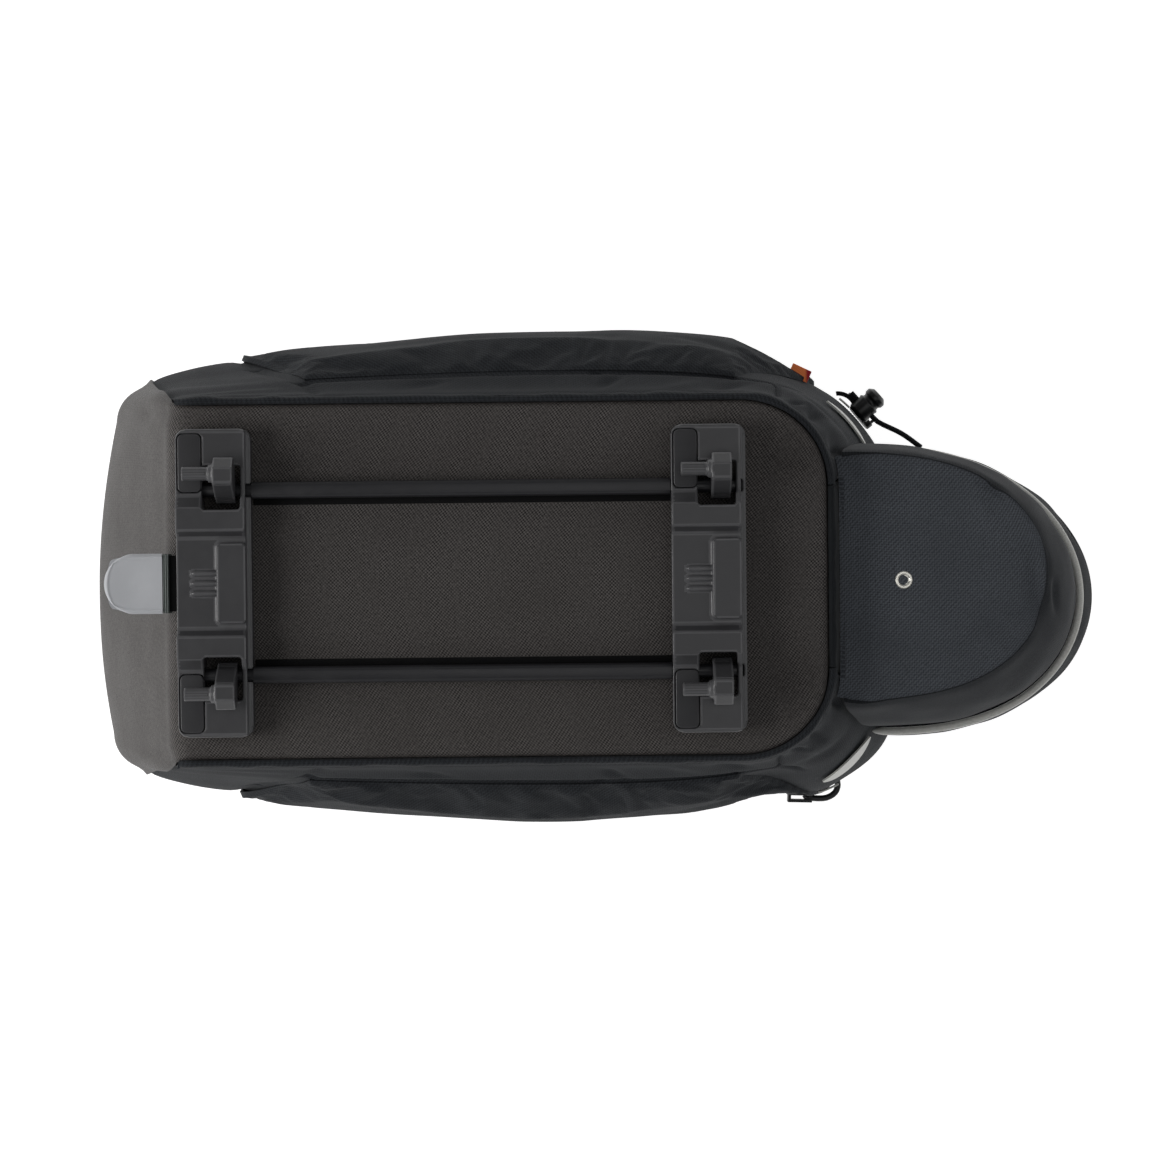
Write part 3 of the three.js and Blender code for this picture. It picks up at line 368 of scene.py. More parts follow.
wallDents = [
    # place and depth share, reach along and down, sink
    (1.20, 0.60, 0.22, 0.30, -3.30), (1.16, 0.28, 0.20, 0.12, 0.73), (1.25, 0.58, 0.14, 0.16, 0.55),
    (3.10, 0.24, 0.25, 0.12, 1.00), (3.45, 0.55, 0.30, 0.14, 0.64)]
tail = dict(rootStep=0.07, **inMm(
    endX=211, lean=8, leanStart=65, leanEnd=100, endLean=4, leanDepth=90, cloth=2, floorRoot=12,
    floorEnd=20, pipingDepth=70, rimDepth=122, pipingRadius=1.6, hemRadius=2))
tailRows = dict(  # place at the root, share of the reach, power of the curve
    floor=(3.76, 0.75, 2.8), piping=(3.72, 0.88, 2.35), rim=(3.70, 1.00, 2.15))
hem = dict(pucker=0.55, share=0.1, **inMm(roll=2.0, inset=1.1, frontRoll=11, swell=2.3, reach=8), profile=[
    # out from the base's outline and up from its top, in mm
    (-0.95, -3.2), (-0.9, -0.9), (-0.65, 0.2), (0.1, 0.55), (1.2, 0.0), (2.0, -1.9), (2.4, -5.0)])


def lerp(low, high, share):
    return low + (high - low) * share


def clamp(value, low, high):
    return max(low, min(high, value))


def smooth(value, low, high):
    share = clamp((value - low) / (high - low), 0, 1)
    return share * share * (3 - 2 * share)


def bell(offset, reach):
    return math.exp(-((offset / reach) ** 2))


def arch(share, power):
    return 1 - abs(2 * share - 1) ** power


def track(column, share):
    low = 0
    while low < len(bodyRows) - 2 and bodyRows[low + 1][0] < share:
        low += 1

    def slope(row):
        before, after = bodyRows[max(row - 1, 0)], bodyRows[min(row + 1, len(bodyRows) - 1)]
        return (after[column] - before[column]) / (after[0] - before[0])

    start, end = bodyRows[low], bodyRows[low + 1]
    span = end[0] - start[0]
    t = (share - start[0]) / span
    value = (1 + 2 * t) * (1 - t) ** 2 * start[column] + t * (1 - t) ** 2 * span * slope(low)
    return value + t * t * (3 - 2 * t) * end[column] + t * t * (t - 1) * span * slope(low + 1)


@lru_cache(maxsize=None)
def bodySizes(depth):
    share = max(depth / body["height"], bodyRows[0][0])
    lean, rear = track(1, share), track(5, share)
    return (body["frontX"] - body["frontLean"] * lean,
            body["frontBow"] * clamp(lean, 0, 1),
            body["frontEdge"] + body["frontCorner"] * clamp(lean, 0, 1),
            body["baseHalf"] + body["noseSwell"] * track(2, share),
            body["baseHalf"] + body["sideSwell"] * track(3, share),
            body["baseHalf"] + body["backSwell"] * track(4, share),
            body["rearX"] + body["rearLean"] * rear,
            body["cornerSoftness"] * clamp(rear, 0, 1))


def outlinePoint(depth, place):
    front, bow, corner, nose, side, back, rear, softness = bodySizes(depth)
    sideStart = front + bow + corner
    rearStart = rear - body["rearCorner"]
    rearHalf = back - body["rearCorner"] * (1 + 0.3 * softness / body["cornerSoftness"])
    z = body["height"] - depth
    if place < 0:
        share = place + 1
        return Vector((front + bow * share ** 2, share * (nose - corner), z))
    if place < 1:
        angle = place * math.pi / 2
        return Vector((sideStart - corner * math.cos(angle), nose - corner * (1 - math.sin(angle)), z))
    if place < 2:
        left = 2 - place
        return Vector((lerp(body["widestX"], sideStart, left), side - (side - nose) * left ** 2, z))
    if place < 3:
        gone = place - 2
        return Vector((lerp(body["widestX"], rearStart, gone), side - (side - back) * gone ** 2, z))
    if place < 4:
        gone = place - 3
        angle = gone * math.pi / 2
        roundX = rearStart + body["rearCorner"] * math.sin(angle)
        roundY = rearHalf + (back - rearHalf) * math.cos(angle)
        x = lerp(roundX, rearStart + body["rearCorner"] * gone, softness)
        return Vector((x, lerp(roundY, lerp(back, rearHalf, gone), softness), z))
    return Vector((rear, rearHalf * (5 - place), z))


def outlineNormal(depth, place):
    step, drop = 0.02, 0.2 * mm
    along = outlinePoint(depth, place + step) - outlinePoint(depth, place - step)
    down = outlinePoint(depth + drop, place) - outlinePoint(depth - drop, place)
    return along.cross(down).normalized()


def wallSink(depth, place):
    share = depth / body["height"]
    return body["dentSink"] * sum(
        sink * bell(place - at, long) * bell(share - down, wide) for at, down, long, wide, sink in wallDents)


def fullCorner(depth, place):  # the rear corner on the right side stands out more than the left one
    share = depth / body["height"]
    return body["cornerFill"] * bell(place - 3.6, 0.34) * bell(share - 0.72, 0.24)


def leaning(point):
    lean = tail["lean"] * smooth(point.x, tail["leanStart"], tail["leanEnd"])
    lean += tail["endLean"] * smooth(point.x, tail["leanEnd"], tail["endX"])
    reach = body["skewReach"]
    skew = body["frontSkew"] * point.y / body["baseHalf"] * smooth(body["frontX"] + reach - point.x, 0, reach)
    down = smooth(body["height"] - point.z, 0, tail["leanDepth"])
    return Vector((point.x + skew * down, point.y - lean * down, point.z))


def wallPoint(depth, place, distance=0.0, side=1):
    fill = fullCorner(depth, place) if side < 0 else 0
    out = distance + fill - wallSink(depth, place)
    point = outlinePoint(depth, place) + outlineNormal(depth, place) * out
    return leaning(Vector((point.x, point.y * side, point.z)))


def ringPoint(depth, way, distance=0.0):  # way 0 is the front's middle, 6 and -6 are the rear's
    return wallPoint(depth, abs(way) - 1, distance, -1 if way < 0 else 1)


def rolledPoint(x, y):  # a point of the base's top, whose sides and rear end in a small roll
    roll, inset = hem["roll"], hem["inset"]
    half, rear = body["baseHalf"] - inset - roll, body["rearX"] - inset - roll
    corner = body["rearCorner"] - inset - roll
    nearest = Vector((min(x, rear), clamp(y, -half, half), 0))
    if x > rear - corner and abs(y) > half - corner:
        centre = Vector((rear - corner, math.copysign(half - corner, y), 0))
        arm = Vector((x, y, 0)) - centre
        nearest = centre + arm.normalized() * min(arm.length, corner)
    out = Vector((x, y, 0)) - nearest
    turn = min(out.length / roll, math.pi / 2)
    tilt = out.normalized() * math.sin(turn) if out.length > 1e-9 else Vector()
    normal = tilt + Vector((0, 0, math.cos(turn)))
    nearest.z = body["height"] - roll
    return nearest + normal * roll


def rolledHalf(x):
    reach = hem["roll"] * (math.pi / 2 - 1) - hem["inset"]
    full, corner = body["baseHalf"] + reach, body["rearCorner"] + reach
    beyond = x - (body["rearX"] - body["rearCorner"])
    return full - corner + math.sqrt(max(corner ** 2 - beyond ** 2, 0)) if beyond > 0 else full


def creaseDrop(x):  # how far the base has sunk where it rolls over at the front
    gone = clamp((body["frontX"] + hem["frontRoll"] - x) / hem["frontRoll"], 0, 1)
    return hem["frontRoll"] * (1 - math.sqrt(1 - gone)) ** 2


def curvePoint(spots, share):  # on a smooth line through all the spots, with the way that it runs
    reach = clamp(share, 0, 1) * (len(spots) - 1)
    index = min(int(reach), len(spots) - 2)
    part = reach - index
    before, start, end, after = (spots[clamp(index + step, 0, len(spots) - 1)] for step in (-1, 0, 1, 2))
    curve = 0.5 * ((2 * start) + (end - before) * part
                   + (2 * before - 5 * start + 4 * end - after) * part ** 2
                   + (3 * start - before - 3 * end + after) * part ** 3)
    return curve, lerp((end - before).normalized(), (after - start).normalized(), part).normalized()


def hemPoint(place, side, share):  # the walls' rolled top hem, from the base's seam outwards
    curve, _ = curvePoint([Vector(spot) for spot in hem["profile"]], share)
    edge, out = outlinePoint(0, place), outlineNormal(0.1 * mm, place)
    out.z = 0
    wobble = 1 + hem["pucker"] * ripple(edge.x * 60, edge.y * 60, side * 3.0, 1.6) * min(1, 2 * share)
    point = edge + out.normalized() * curve.x * mm * wobble
    point.z += curve.y * mm * wobble - creaseDrop(edge.x)
    return leaning(Vector((point.x, point.y * side, point.z)))


def hemLift(depth):
    return hem["swell"] * bell(depth - body["edgeRoll"], hem["reach"])


def tailPoint(row, depthRoot, depthEnd, turn, distance=0.0):
    root, end, power = tailRows[row]
    start = outlinePoint(depthRoot + tail["cloth"], root + tail["rootStep"]).x + 2 * body["gap"]
    half = outlinePoint(depthRoot, root).y
    forward = max(math.cos(turn), 0) ** (2 / power)
    x = start + (lerp(start, tail["endX"], end) - start) * forward + distance * math.cos(turn)
    z = body["height"] - lerp(depthRoot, depthEnd, forward)
    return leaning(Vector((x, -(half + distance) * math.sin(turn), z)))


def evenTurns():  # turns at equal steps along the tail pocket's rim
    count = 400
    turns = [lerp(-math.pi / 2, math.pi / 2, index / count) for index in range(count + 1)]
    line = [tailPoint("rim", tail["rimDepth"], tail["rimDepth"], turn) for turn in turns]
    lengths = [0.0]
    for before, after in zip(line, line[1:]):
        lengths.append(lengths[-1] + (after - before).length)
    return turns, lengths


turnTable, lengthTable = evenTurns()


def turnAt(share):
    wanted = clamp(share, 0, 1) * lengthTable[-1]
    low, high = 0, len(lengthTable) - 1
    while high - low > 1:
        middle = (low + high) // 2
        low, high = (middle, high) if lengthTable[middle] <= wanted else (low, middle)
    span = lengthTable[high] - lengthTable[low]
    return lerp(turnTable[low], turnTable[high], (wanted - lengthTable[low]) / span)


# Making and finishing pieces


def finishPiece(piece, slot, finish=None, rides="root", replaces=()):
    piece.data.materials.clear()
    piece.data.materials.append(finishes[finish or slot])
    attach(piece, rides)
    if replaces:
        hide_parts(*replaces)


def applyModifiers(piece):
    activate(piece)
    for modifier in list(piece.modifiers):
        bpy.ops.object.modifier_apply(modifier=modifier.name)


def smoothShade(piece, angle=40):
    activate(piece)
    bpy.ops.object.shade_smooth_by_angle(angle=math.radians(angle))


def mappedGrid(name, columns, rows, shape, centre):
    deselectAll()
    bpy.ops.mesh.primitive_grid_add(x_subdivisions=columns, y_subdivisions=rows, size=2, location=(0, 0, 0))
    piece = bpy.context.object
    piece.name = name
    mesh = piece.data
    spots = [((v.co.x + 1) / 2, (v.co.y + 1) / 2) for v in mesh.vertices]
    lines = {}
    for index, (s, t) in enumerate(spots):
        mesh.vertices[index].co = shape(s, t)
        lines.setdefault(round(t * rows), []).append((s, index))
    order = [[index for _, index in sorted(lines[key])] for key in sorted(lines)]
    across, along = {}, {}
    for line in order:
        total = 0.0
        for before, after in zip([line[0], *line], line):
            total += (mesh.vertices[after].co - mesh.vertices[before].co).length
            across[after] = total
        for index in line:
            across[index] -= total / 2
    for column in range(len(order[0])):
        total = 0.0
        for before, after in zip([order[0], *order], order):
            total += (mesh.vertices[after[column]].co - mesh.vertices[before[column]].co).length
            along[after[column]] = total
    layer = mesh.uv_layers.get("UVMap") or mesh.uv_layers.new(name="UVMap")
    for loop in mesh.loops:
        layer.data[loop.index].uv = (across[loop.vertex_index], along[loop.vertex_index])
    mesh.update()
    outward = sum((face.center - Vector(centre)).dot(face.normal) * face.area for face in mesh.polygons)
    if outward < 0:
        mesh.flip_normals()
    return piece


def thicken(piece, thickness):
    wall = piece.modifiers.new("wall", "SOLIDIFY")
    wall.thickness = thickness
    wall.offset = -1
    wall.use_even_offset = False
    applyModifiers(piece)
    smoothShade(piece, 60)


def sewn(name, columns, rows, shape, thickness, slot, node=None, finish=None, centre=middle,
         rides="root"):  # a sheet of cloth or rubber with its thickness and its finish
    piece = mappedGrid(name, columns, rows, shape, centre)
    thicken(piece, thickness)
    finishPiece(piece, slot, finish, rides, [node] if node else ())


def weld(piece, distance, outward=False, flatten=0):
    activate(piece)
    bpy.ops.object.mode_set(mode="EDIT")
    bpy.ops.mesh.select_all(action="SELECT")
    bpy.ops.mesh.remove_doubles(threshold=distance)
    if outward:
        bpy.ops.mesh.normals_make_consistent(inside=False)
    if flatten:
        bpy.ops.mesh.dissolve_limited(angle_limit=math.radians(flatten))
    bpy.ops.object.mode_set(mode="OBJECT")


def eased(piece, width, shade, finish=-1, angle=30):
    easing = piece.modifiers.new("easing", "BEVEL")
    easing.width = width
    easing.segments = 3
    easing.material = finish
    easing.limit_method = "ANGLE"
    easing.angle_limit = math.radians(angle)
    applyModifiers(piece)
    smoothShade(piece, shade)


def softBox(name, low, high, edge):
    deselectAll()
    bpy.ops.mesh.primitive_cube_add(size=1, location=(0, 0, 0))
    piece = bpy.context.object
    piece.name = name
    for vertex in piece.data.vertices:
        vertex.co = Vector([lerp(start, end, place + 0.5) for start, end, place in zip(low, high, vertex.co)])
    eased(piece, edge, 40)
    return piece


def ripple(x, y, z, scale, seed=0.0):
    return noise.noise(Vector((x * scale + seed, y * scale - seed, z * scale + 2 * seed)))


def tuck(share, length, reach=2.2 * mm):  # 1 at a seam, fading away from both ends of a length
    return math.exp(-(min(share, 1 - share) * length) / reach)


def segmentBell(point, start, end, width, ends=0.35):
    along = end - start
    share = clamp((point - start).dot(along) / along.dot(along), 0, 1)
    return bell((point - (start + along * share)).length, width) * (ends + (1 - ends) * arch(share, 2))


def creased(lift, spot, rows, along, down, ends=0.35, share=1):  # adds the ridges or seams of a list of rows
    for startAlong, startDown, endAlong, endDown, width, height in rows:
        first = Vector((startAlong * along, startDown * down))
        last = Vector((endAlong * along, endDown * down))
        lift += height * mm * segmentBell(spot, first, last, width * mm, ends) * share
    return lift


def settle(piece, pressure, slack, cap, frames=14):  # lets a pinned sheet swell and crumple
    before = [v.co.copy() for v in piece.data.vertices]
    pinned = piece.vertex_groups.new(name="pinned")
    edge = set()
    for face in piece.data.polygons:
        for key in face.edge_keys:
            edge ^= {key}
    pinned.add(sorted({index for key in edge for index in key}), 1.0, "REPLACE")
    cloth = piece.modifiers.new("cloth", "CLOTH")
    cloth.settings.vertex_group_mass = "pinned"
    cloth.settings.quality = 6
    cloth.settings.mass = 0.25
    cloth.settings.tension_stiffness = cloth.settings.compression_stiffness = 25
    cloth.settings.shear_stiffness = 8
    cloth.settings.bending_stiffness = 0.6
    cloth.settings.use_pressure = True
    cloth.settings.uniform_pressure_force = pressure
    cloth.settings.shrink_min = -slack
    cloth.settings.effector_weights.gravity = 0
    cloth.point_cache.frame_start = 1
    cloth.point_cache.frame_end = frames
    for step in range(1, frames + 1):
        bpy.context.scene.frame_set(step)
    depsgraph = bpy.context.evaluated_depsgraph_get()
    moved = [v.co.copy() for v in piece.evaluated_get(depsgraph).data.vertices]
    piece.modifiers.remove(cloth)
    bpy.context.scene.frame_set(1)
    for vertex, old, new in zip(piece.data.vertices, before, moved):
        shift = new - old
        vertex.co = old + shift * (min(1.0, cap / shift.length) if shift.length > 0 else 1.0)


def mappedTube(name, points, radius, sides=12):  # tapers to nothing at its two ends
    def shape(around, along):
        spot, forward = curvePoint(points, along)
        sideways = forward.cross(Vector((0, 0, 1))).normalized()
        angle = 2 * math.pi * around
        thick = radius * min(1, math.sqrt(min(along, 1 - along) * 60) + 0.02)
        return spot + (sideways * math.cos(angle) + sideways.cross(forward) * math.sin(angle)) * thick

    piece = mappedGrid(name, sides, (len(points) - 1) * 3, shape, middle)
    weld(piece, 0.002 * mm, outward=True)
    smoothShade(piece, 70)
    return piece


def joinPieces(pieces, name):
    deselectAll()
    for piece in pieces:
        piece.select_set(True)
    bpy.context.view_layer.objects.active = pieces[0]
    bpy.ops.object.join()
    bpy.context.object.name = name
    return bpy.context.object


# The base: one coated sheet that runs on up the front wall

baseSetup = dict(columns=96, rows=216, wave=0.3 * mm, creaseLength=18 * mm, dimples=[
    # place on the base, half sizes along and across, depth, all in mm
    (-178, 67.0, 5, 3.0, 1.6), (-163, 67.5, 10, 3.2, 1.5), (-172, -69.0, 9, 2.4, 1.4),
    (-150, -68.0, 16, 2.2, 0.8), (-146, 20, 3, 30, -0.4), (78, 50, 12, 8, -0.8), (82, -46, 12, 9, -0.7)])


def frontPoint(depth, share):  # columns at equal steps across the front and its two corners
    corner, nose = bodySizes(depth)[2:4]
    straight = (nose - corner) / (nose - corner + corner * math.pi / 2)
    flat = abs(share) / straight - 1
    place = flat if flat < 0 else (abs(share) - straight) / (1 - straight)
    return wallPoint(depth, place, 0, -1 if share < 0 else 1)


def baseSheet(s, t):
    roll, front, crease = hem["frontRoll"], body["frontX"] + hem["frontRoll"], baseSetup["creaseLength"]
    rearEnd = body["rearX"] - hem["inset"] + hem["roll"] * (math.pi / 2 - 1)
    flat, rise = rearEnd - front, body["zipTop"] - roll
    gone = t * (flat + crease + rise)
    share = 2 * s - 1
    x = max(rearEnd - gone, front)
    point = rolledPoint(x, share * rolledHalf(min(x, rearEnd - 0.02 * mm)))
    out = Vector((0, 0, 1))
    if gone > flat:
        start, end = point, frontPoint(roll, share)
        corner = Vector((body["frontX"], start.y, start.z))
        turn = clamp((gone - flat) / crease, 0, 1)
        point = start * (1 - turn) ** 2 + corner * 2 * turn * (1 - turn) + end * turn ** 2
        out = Vector((-turn, 0, 1 - 0.6 * turn)).normalized()
    if gone > flat + crease:
        point = frontPoint(roll + gone - flat - crease, share)
    lift = baseSetup["wave"] * ripple(point.x, point.y, point.z, 26)
    for x, y, long, wide, depth in baseSetup["dimples"]:
        lift -= depth * mm * bell(point.x - x * mm, long * mm) * bell(point.y - y * mm, wide * mm)
    return point + out * lift


def buildBase():
    s = baseSetup
    sewn("basePanel", s["columns"], s["rows"], baseSheet, body["baseCloth"], "coated", "base_panel")
    print("base panel made")


# The side walls, with their corner seams and gathers

wallSetup = dict(columns=220, rows=110, seamSink=1.2 * mm, wave=0.5 * mm, seamStep=0.008, unit=60 * mm,
                 seams=[
    # place and depth of both ends, width, height, in mm apart from the places
    (1.367, 2, 1.335, 25, 0.9, -1.2), (1.335, 25, 1.24, 75, 1.0, -1.1), (1.24, 75, 1.2, 140, 1.0, -1.1),
    (1.335, 27.5, 2.1, 28, 1.5, -1.3), (2.1, 28, 2.86, 28.5, 1.5, -1.3), (2.86, 28.5, 3.12, 30, 1.2, -1.1),
    (3.285, 2, 3.12, 30, 1.0, -1.3)], folds=[
    (1.02, 12, 1.3, 18, 3.5, 0.8), (1.05, 60, 1.2, 34, 4, -0.7), (1.60, 16, 1.67, 24, 2.2, -1.1),
    (2.14, 14, 2.24, 25, 2.6, -1.3), (2.55, 10, 2.72, 20, 4.5, 0.9), (2.8, 8, 2.95, 22, 3.2, -1.0),
    (3.12, 30, 3.2, 50, 2.2, -1.8), (3.31, 5, 3.4, 20, 1.8, -2.0), (3.38, 8, 3.43, 28, 2.6, 1.4),
    (3.5, 5, 3.53, 26, 2.0, -1.7), (3.66, 6, 3.62, 30, 2.6, 1.2), (3.78, 5, 3.8, 22, 2.0, -1.5),
    (3.3, 34, 3.62, 46, 5, -1.2)])


def sideSheet(side):
    s = wallSetup
    start, end = body["edgeRoll"] + body["gap"], body["zipTop"]

    def shape(across, down):
        place = lerp(1 + s["seamStep"] / 2, 4 - s["seamStep"], across)
        if down < hem["share"]:
            return hemPoint(place, side, down / hem["share"])
        wall = (down - hem["share"]) / (1 - hem["share"])
        depth = lerp(start, end, wall)
        lift = hemLift(depth) - s["seamSink"] * (tuck(across, 0.4) + 0.8 * tuck(max(wall, 0.5), end - start))
        settled = smooth(wall, 0, 0.06)
        lift += s["wave"] * ripple(place, depth * 30, side, 1.6, 4.0 * side) * settled
        spot = Vector((place * s["unit"], depth))
        lift = creased(lift, spot, s["folds"], s["unit"], mm, share=settled)
        lift = creased(lift, spot, s["seams"], s["unit"], mm, 1, settled)
        return wallPoint(depth, place, lift, side)

    return shape


def buildWalls():
    s = wallSetup
    cloth = body["wallCloth"]
    for name, side in bothSides:
        sewn(f"{name}SideWall", s["columns"], s["rows"], sideSheet(side), cloth, "cloth", f"{name}_side_wall")
    start, end = body["edgeRoll"] + body["gap"], body["zipTop"]

    def rear(across, down):
        way = lerp(-1, 1, across)
        side = -1 if way < 0 else 1
        place = 5 - abs(way)
        if down < hem["share"]:
            return hemPoint(place, side, down / hem["share"])
        wall = (down - hem["share"]) / (1 - hem["share"])
        depth = lerp(start, end, wall)
        lift = hemLift(depth) - 1.0 * mm * tuck(across, 0.09)
        lift += 0.4 * mm * ripple(way, depth * 20, 0, 3) * smooth(wall, 0, 0.06)
        return wallPoint(depth, place, lift, side)

    sewn("rearWall", 48, 60, rear, cloth, "smooth", "rear_wall")
    print("walls made")


# The side pockets, puffed sheets with gathers at their seams

pocketSetup = dict(
    columns=150, rows=76, front=(1.345, 1.215), rear=(2.855, 3.03), fullest=0.42, cloth=1.5 * mm,
    gathers=0.55 * mm, edge=2.0 * mm, length=0.25, start=0.66, pressure=2.0, slack=0.02, cap=2.5 * mm)
pocketFolds = [
    # along and down the pocket, reach along and down, share of the bulge
    (0.16, 0.10, 0.10, 0.12, -0.20), (0.34, 0.22, 0.16, 0.12, 0.14), (0.62, 0.14, 0.14, 0.14, -0.16),
    (0.88, 0.18, 0.09, 0.16, -0.24), (0.78, 0.55, 0.12, 0.22, 0.12)]
pocketCrests = [
    # along and down the pocket at both ends, width and height in mm
    (0.02, 0.13, 0.22, 0.17, 4, 1.1), (0.22, 0.17, 0.62, 0.16, 5, 1.0), (0.10, 0.28, 0.55, 0.30, 6, -0.9),
    (0.62, 0.10, 0.97, 0.20, 4, 0.9), (0.70, 0.34, 0.98, 0.26, 5, -1.0)]


def pocketBulge(along, down, side):
    middle = pocketSetup["fullest"]
    share = 0.5 + 0.5 * (down - middle) / (middle if down < middle else 1 - middle)
    bulge = arch(along, 3.2) * arch(share, 2.4)
    folds = sum(rise * bell(along - at, long) * bell(down - low, wide)
                for at, low, long, wide, rise in pocketFolds)
    fuller = 0.3 * bell(along - 0.3, 0.28) if side < 0 else 0
    return pocketSetup["start"] * body["pocketSwell"] * bulge * (1 + folds + fuller)


def pocketSheet(side):
    s = pocketSetup

    def shape(along, down):
        depth = body["pocketTop"] + body["pocketDepth"] * down
        sweep = smooth(down, -0.1, 0.8)
        place = lerp(lerp(*s["front"], sweep), lerp(*s["rear"], sweep), along)
        pleats = math.sin(along * 58 + 2.2 * math.sin(along * 21 + side))
        lift = s["gathers"] * pleats * math.exp(-down * 9) * min(1, down * 30) * arch(along, 6)
        lift += 0.6 * mm * ripple(along * 6, down * 3, side, 1.4, 2.0) * arch(down, 6)
        long, deep = s["length"], body["pocketDepth"]
        lift = creased(lift, Vector((along * long, down * deep)), pocketCrests, long, deep)
        distance = min(min(along, 1 - along) * long, down * deep, (1 - down) * deep)
        hold = 1 - math.exp(-distance / s["edge"])
        cloth = (2 * body["gap"] + s["cloth"]) * hold + pocketBulge(along, down, side)
        return wallPoint(depth, place, 0.2 * mm + cloth + lift * min(1, 12 * along, 12 * (1 - along)), side)

    return shape


def buildPockets():
    s = pocketSetup
    for name, side in bothSides:
        piece = mappedGrid(f"{name}SidePocket", s["columns"], s["rows"], pocketSheet(side), middle)
        settle(piece, s["pressure"], s["slack"], s["cap"])
        thicken(piece, s["cloth"])
        finishPiece(piece, "cloth", replaces=[f"{name}_side_pocket"])
    print("side pockets made")


# The reflective strips at the rear corners

stripSetup = dict(depth=74 * mm, edge=0.8 * mm, cloth=1 * mm, skew=4 * mm, lift=0.3 * mm, rows=[
    # name, side, first and last place, width
    ("left", 1, 3.3, 3.69, 6 * mm), ("right", -1, 3.24, 3.69, 12 * mm)])


def buildStrips():
    s = stripSetup
    for name, side, start, end, wide in s["rows"]:
        def shape(along, across):
            swell = arch(along, 2) * wide / 2 + s["edge"]
            depth = s["depth"] + (2 * across - 1) * swell
            lean = s["skew"] * (along - 0.35) if side < 0 else 0
            distance = body["gap"] + s["cloth"] + s["lift"]
            return wallPoint(depth + lean, lerp(start, end, along), distance, side)

        sewn(f"{name}ReflectiveStrip", 40, 8, shape, s["cloth"] * 0.7, "reflective",
             f"{name}_reflective_strip")
    print("reflective strips made")


# The zip, the cloth hinge at the front and the padded lid

zipSetup = dict(tapeColumns=260, coilRadius=1.35 * mm, pitch=1.6 * mm, hingePlace=-0.1, step=0.008,
                coilLift=0.9 * mm, tape=0.8 * mm, groove=0.5 * mm, lengthShare=2.6, centre=(-0.03, 0, 0.05))
lidSetup = dict(columns=260, rows=56, band=0.5, seam=0.42, seamSink=1.6 * mm, rimSink=1.2 * mm, wave=0.5 * mm,
                rise=0.9 * mm)


def zipWay(share):  # round the bag from one side of the hinge, past the rear, to the other side
    start = zipSetup["hingePlace"] + 1 + zipSetup["step"]
    gone = share * (2 * (6 - start))
    way = start + gone
    return way if way <= 6 else way - 12


def buildZip():
    s = zipSetup
    depth, half = body["zipTop"] + body["zipWidth"] / 2, body["zipWidth"] / 2 - body["gap"]

    def tape(along, across):
        lift = body["wallCloth"] * 0.35 - s["groove"] * bell(across - 0.5, 0.1)
        return ringPoint(depth + (2 * across - 1) * half, zipWay(along), lift - body["wallCloth"] / 2)

    piece = mappedGrid("zipTape", s["tapeColumns"], 10, tape, s["centre"])
    thicken(piece, s["tape"])
    teeth = int(piece.dimensions.x * s["lengthShare"] / s["pitch"])

    def coil(along, around):
        angle = 2 * math.pi * around
        bead = 0.5 + 0.5 * math.sin(2 * math.pi * along * teeth)
        radius = s["coilRadius"] * (0.72 + 0.28 * bead)
        centre = depth + radius * 1.25 * math.cos(angle)
        lift = s["coilLift"] - body["wallCloth"] / 2 + radius * math.sin(angle)
        return ringPoint(centre, zipWay(along), lift)

    coilPiece = mappedGrid("zipCoil", teeth * 3, 8, coil, s["centre"])
    smoothShade(coilPiece, 60)
    finishPiece(piece, "zip", "zipTape", replaces=["main_zip"])
    finishPiece(coilPiece, "zip")

    def hinge(across, down):
        way = lerp(-0.9, 0.9, across)
        lift = -0.9 * mm * (tuck(down, 8 * mm, 1.2 * mm))
        depth = body["zipTop"] + body["gap"] + (body["zipWidth"] - 2 * body["gap"]) * down
        return ringPoint(depth, way, lift)

    sewn("lidHinge", 80, 8, hinge, body["wallCloth"], "cloth", "lid_hinge", centre=s["centre"])
    print("zip made")


def buildLid():
    s = lidSetup
    rim = body["zipTop"] + body["zipWidth"]

    def shape(along, down):
        way = lerp(-6, 6, along)
        if down <= s["band"]:
            share = (down / s["band"]) ** 0.8
            depth = lerp(rim, body["height"], share)
            lift = -s["rimSink"] * math.exp(-down * 30) - s["seamSink"] * bell(down - s["seam"], 0.012)
            lift += s["wave"] * ripple(way, depth * 30, 0, 1.5) * (1 - share)
            return ringPoint(depth, way, lift)
        share = (down - s["band"]) / (1 - s["band"])
        edge = ringPoint(body["height"], way)
        inner = Vector((clamp(edge.x, -0.13, 0.06), -0.002, 0.0))
        point = edge.lerp(inner, share)
        point.z = s["rise"] * smooth(share, 0.15, 0.9)
        return point

    piece = mappedGrid("paddedLid", s["columns"], s["rows"], shape, middle)
    weld(piece, 0.02 * mm)
    thicken(piece, body["lidCloth"])
    finishPiece(piece, "cloth", replaces=["lid"])
    print("lid made")


# The bottle pocket at the tail

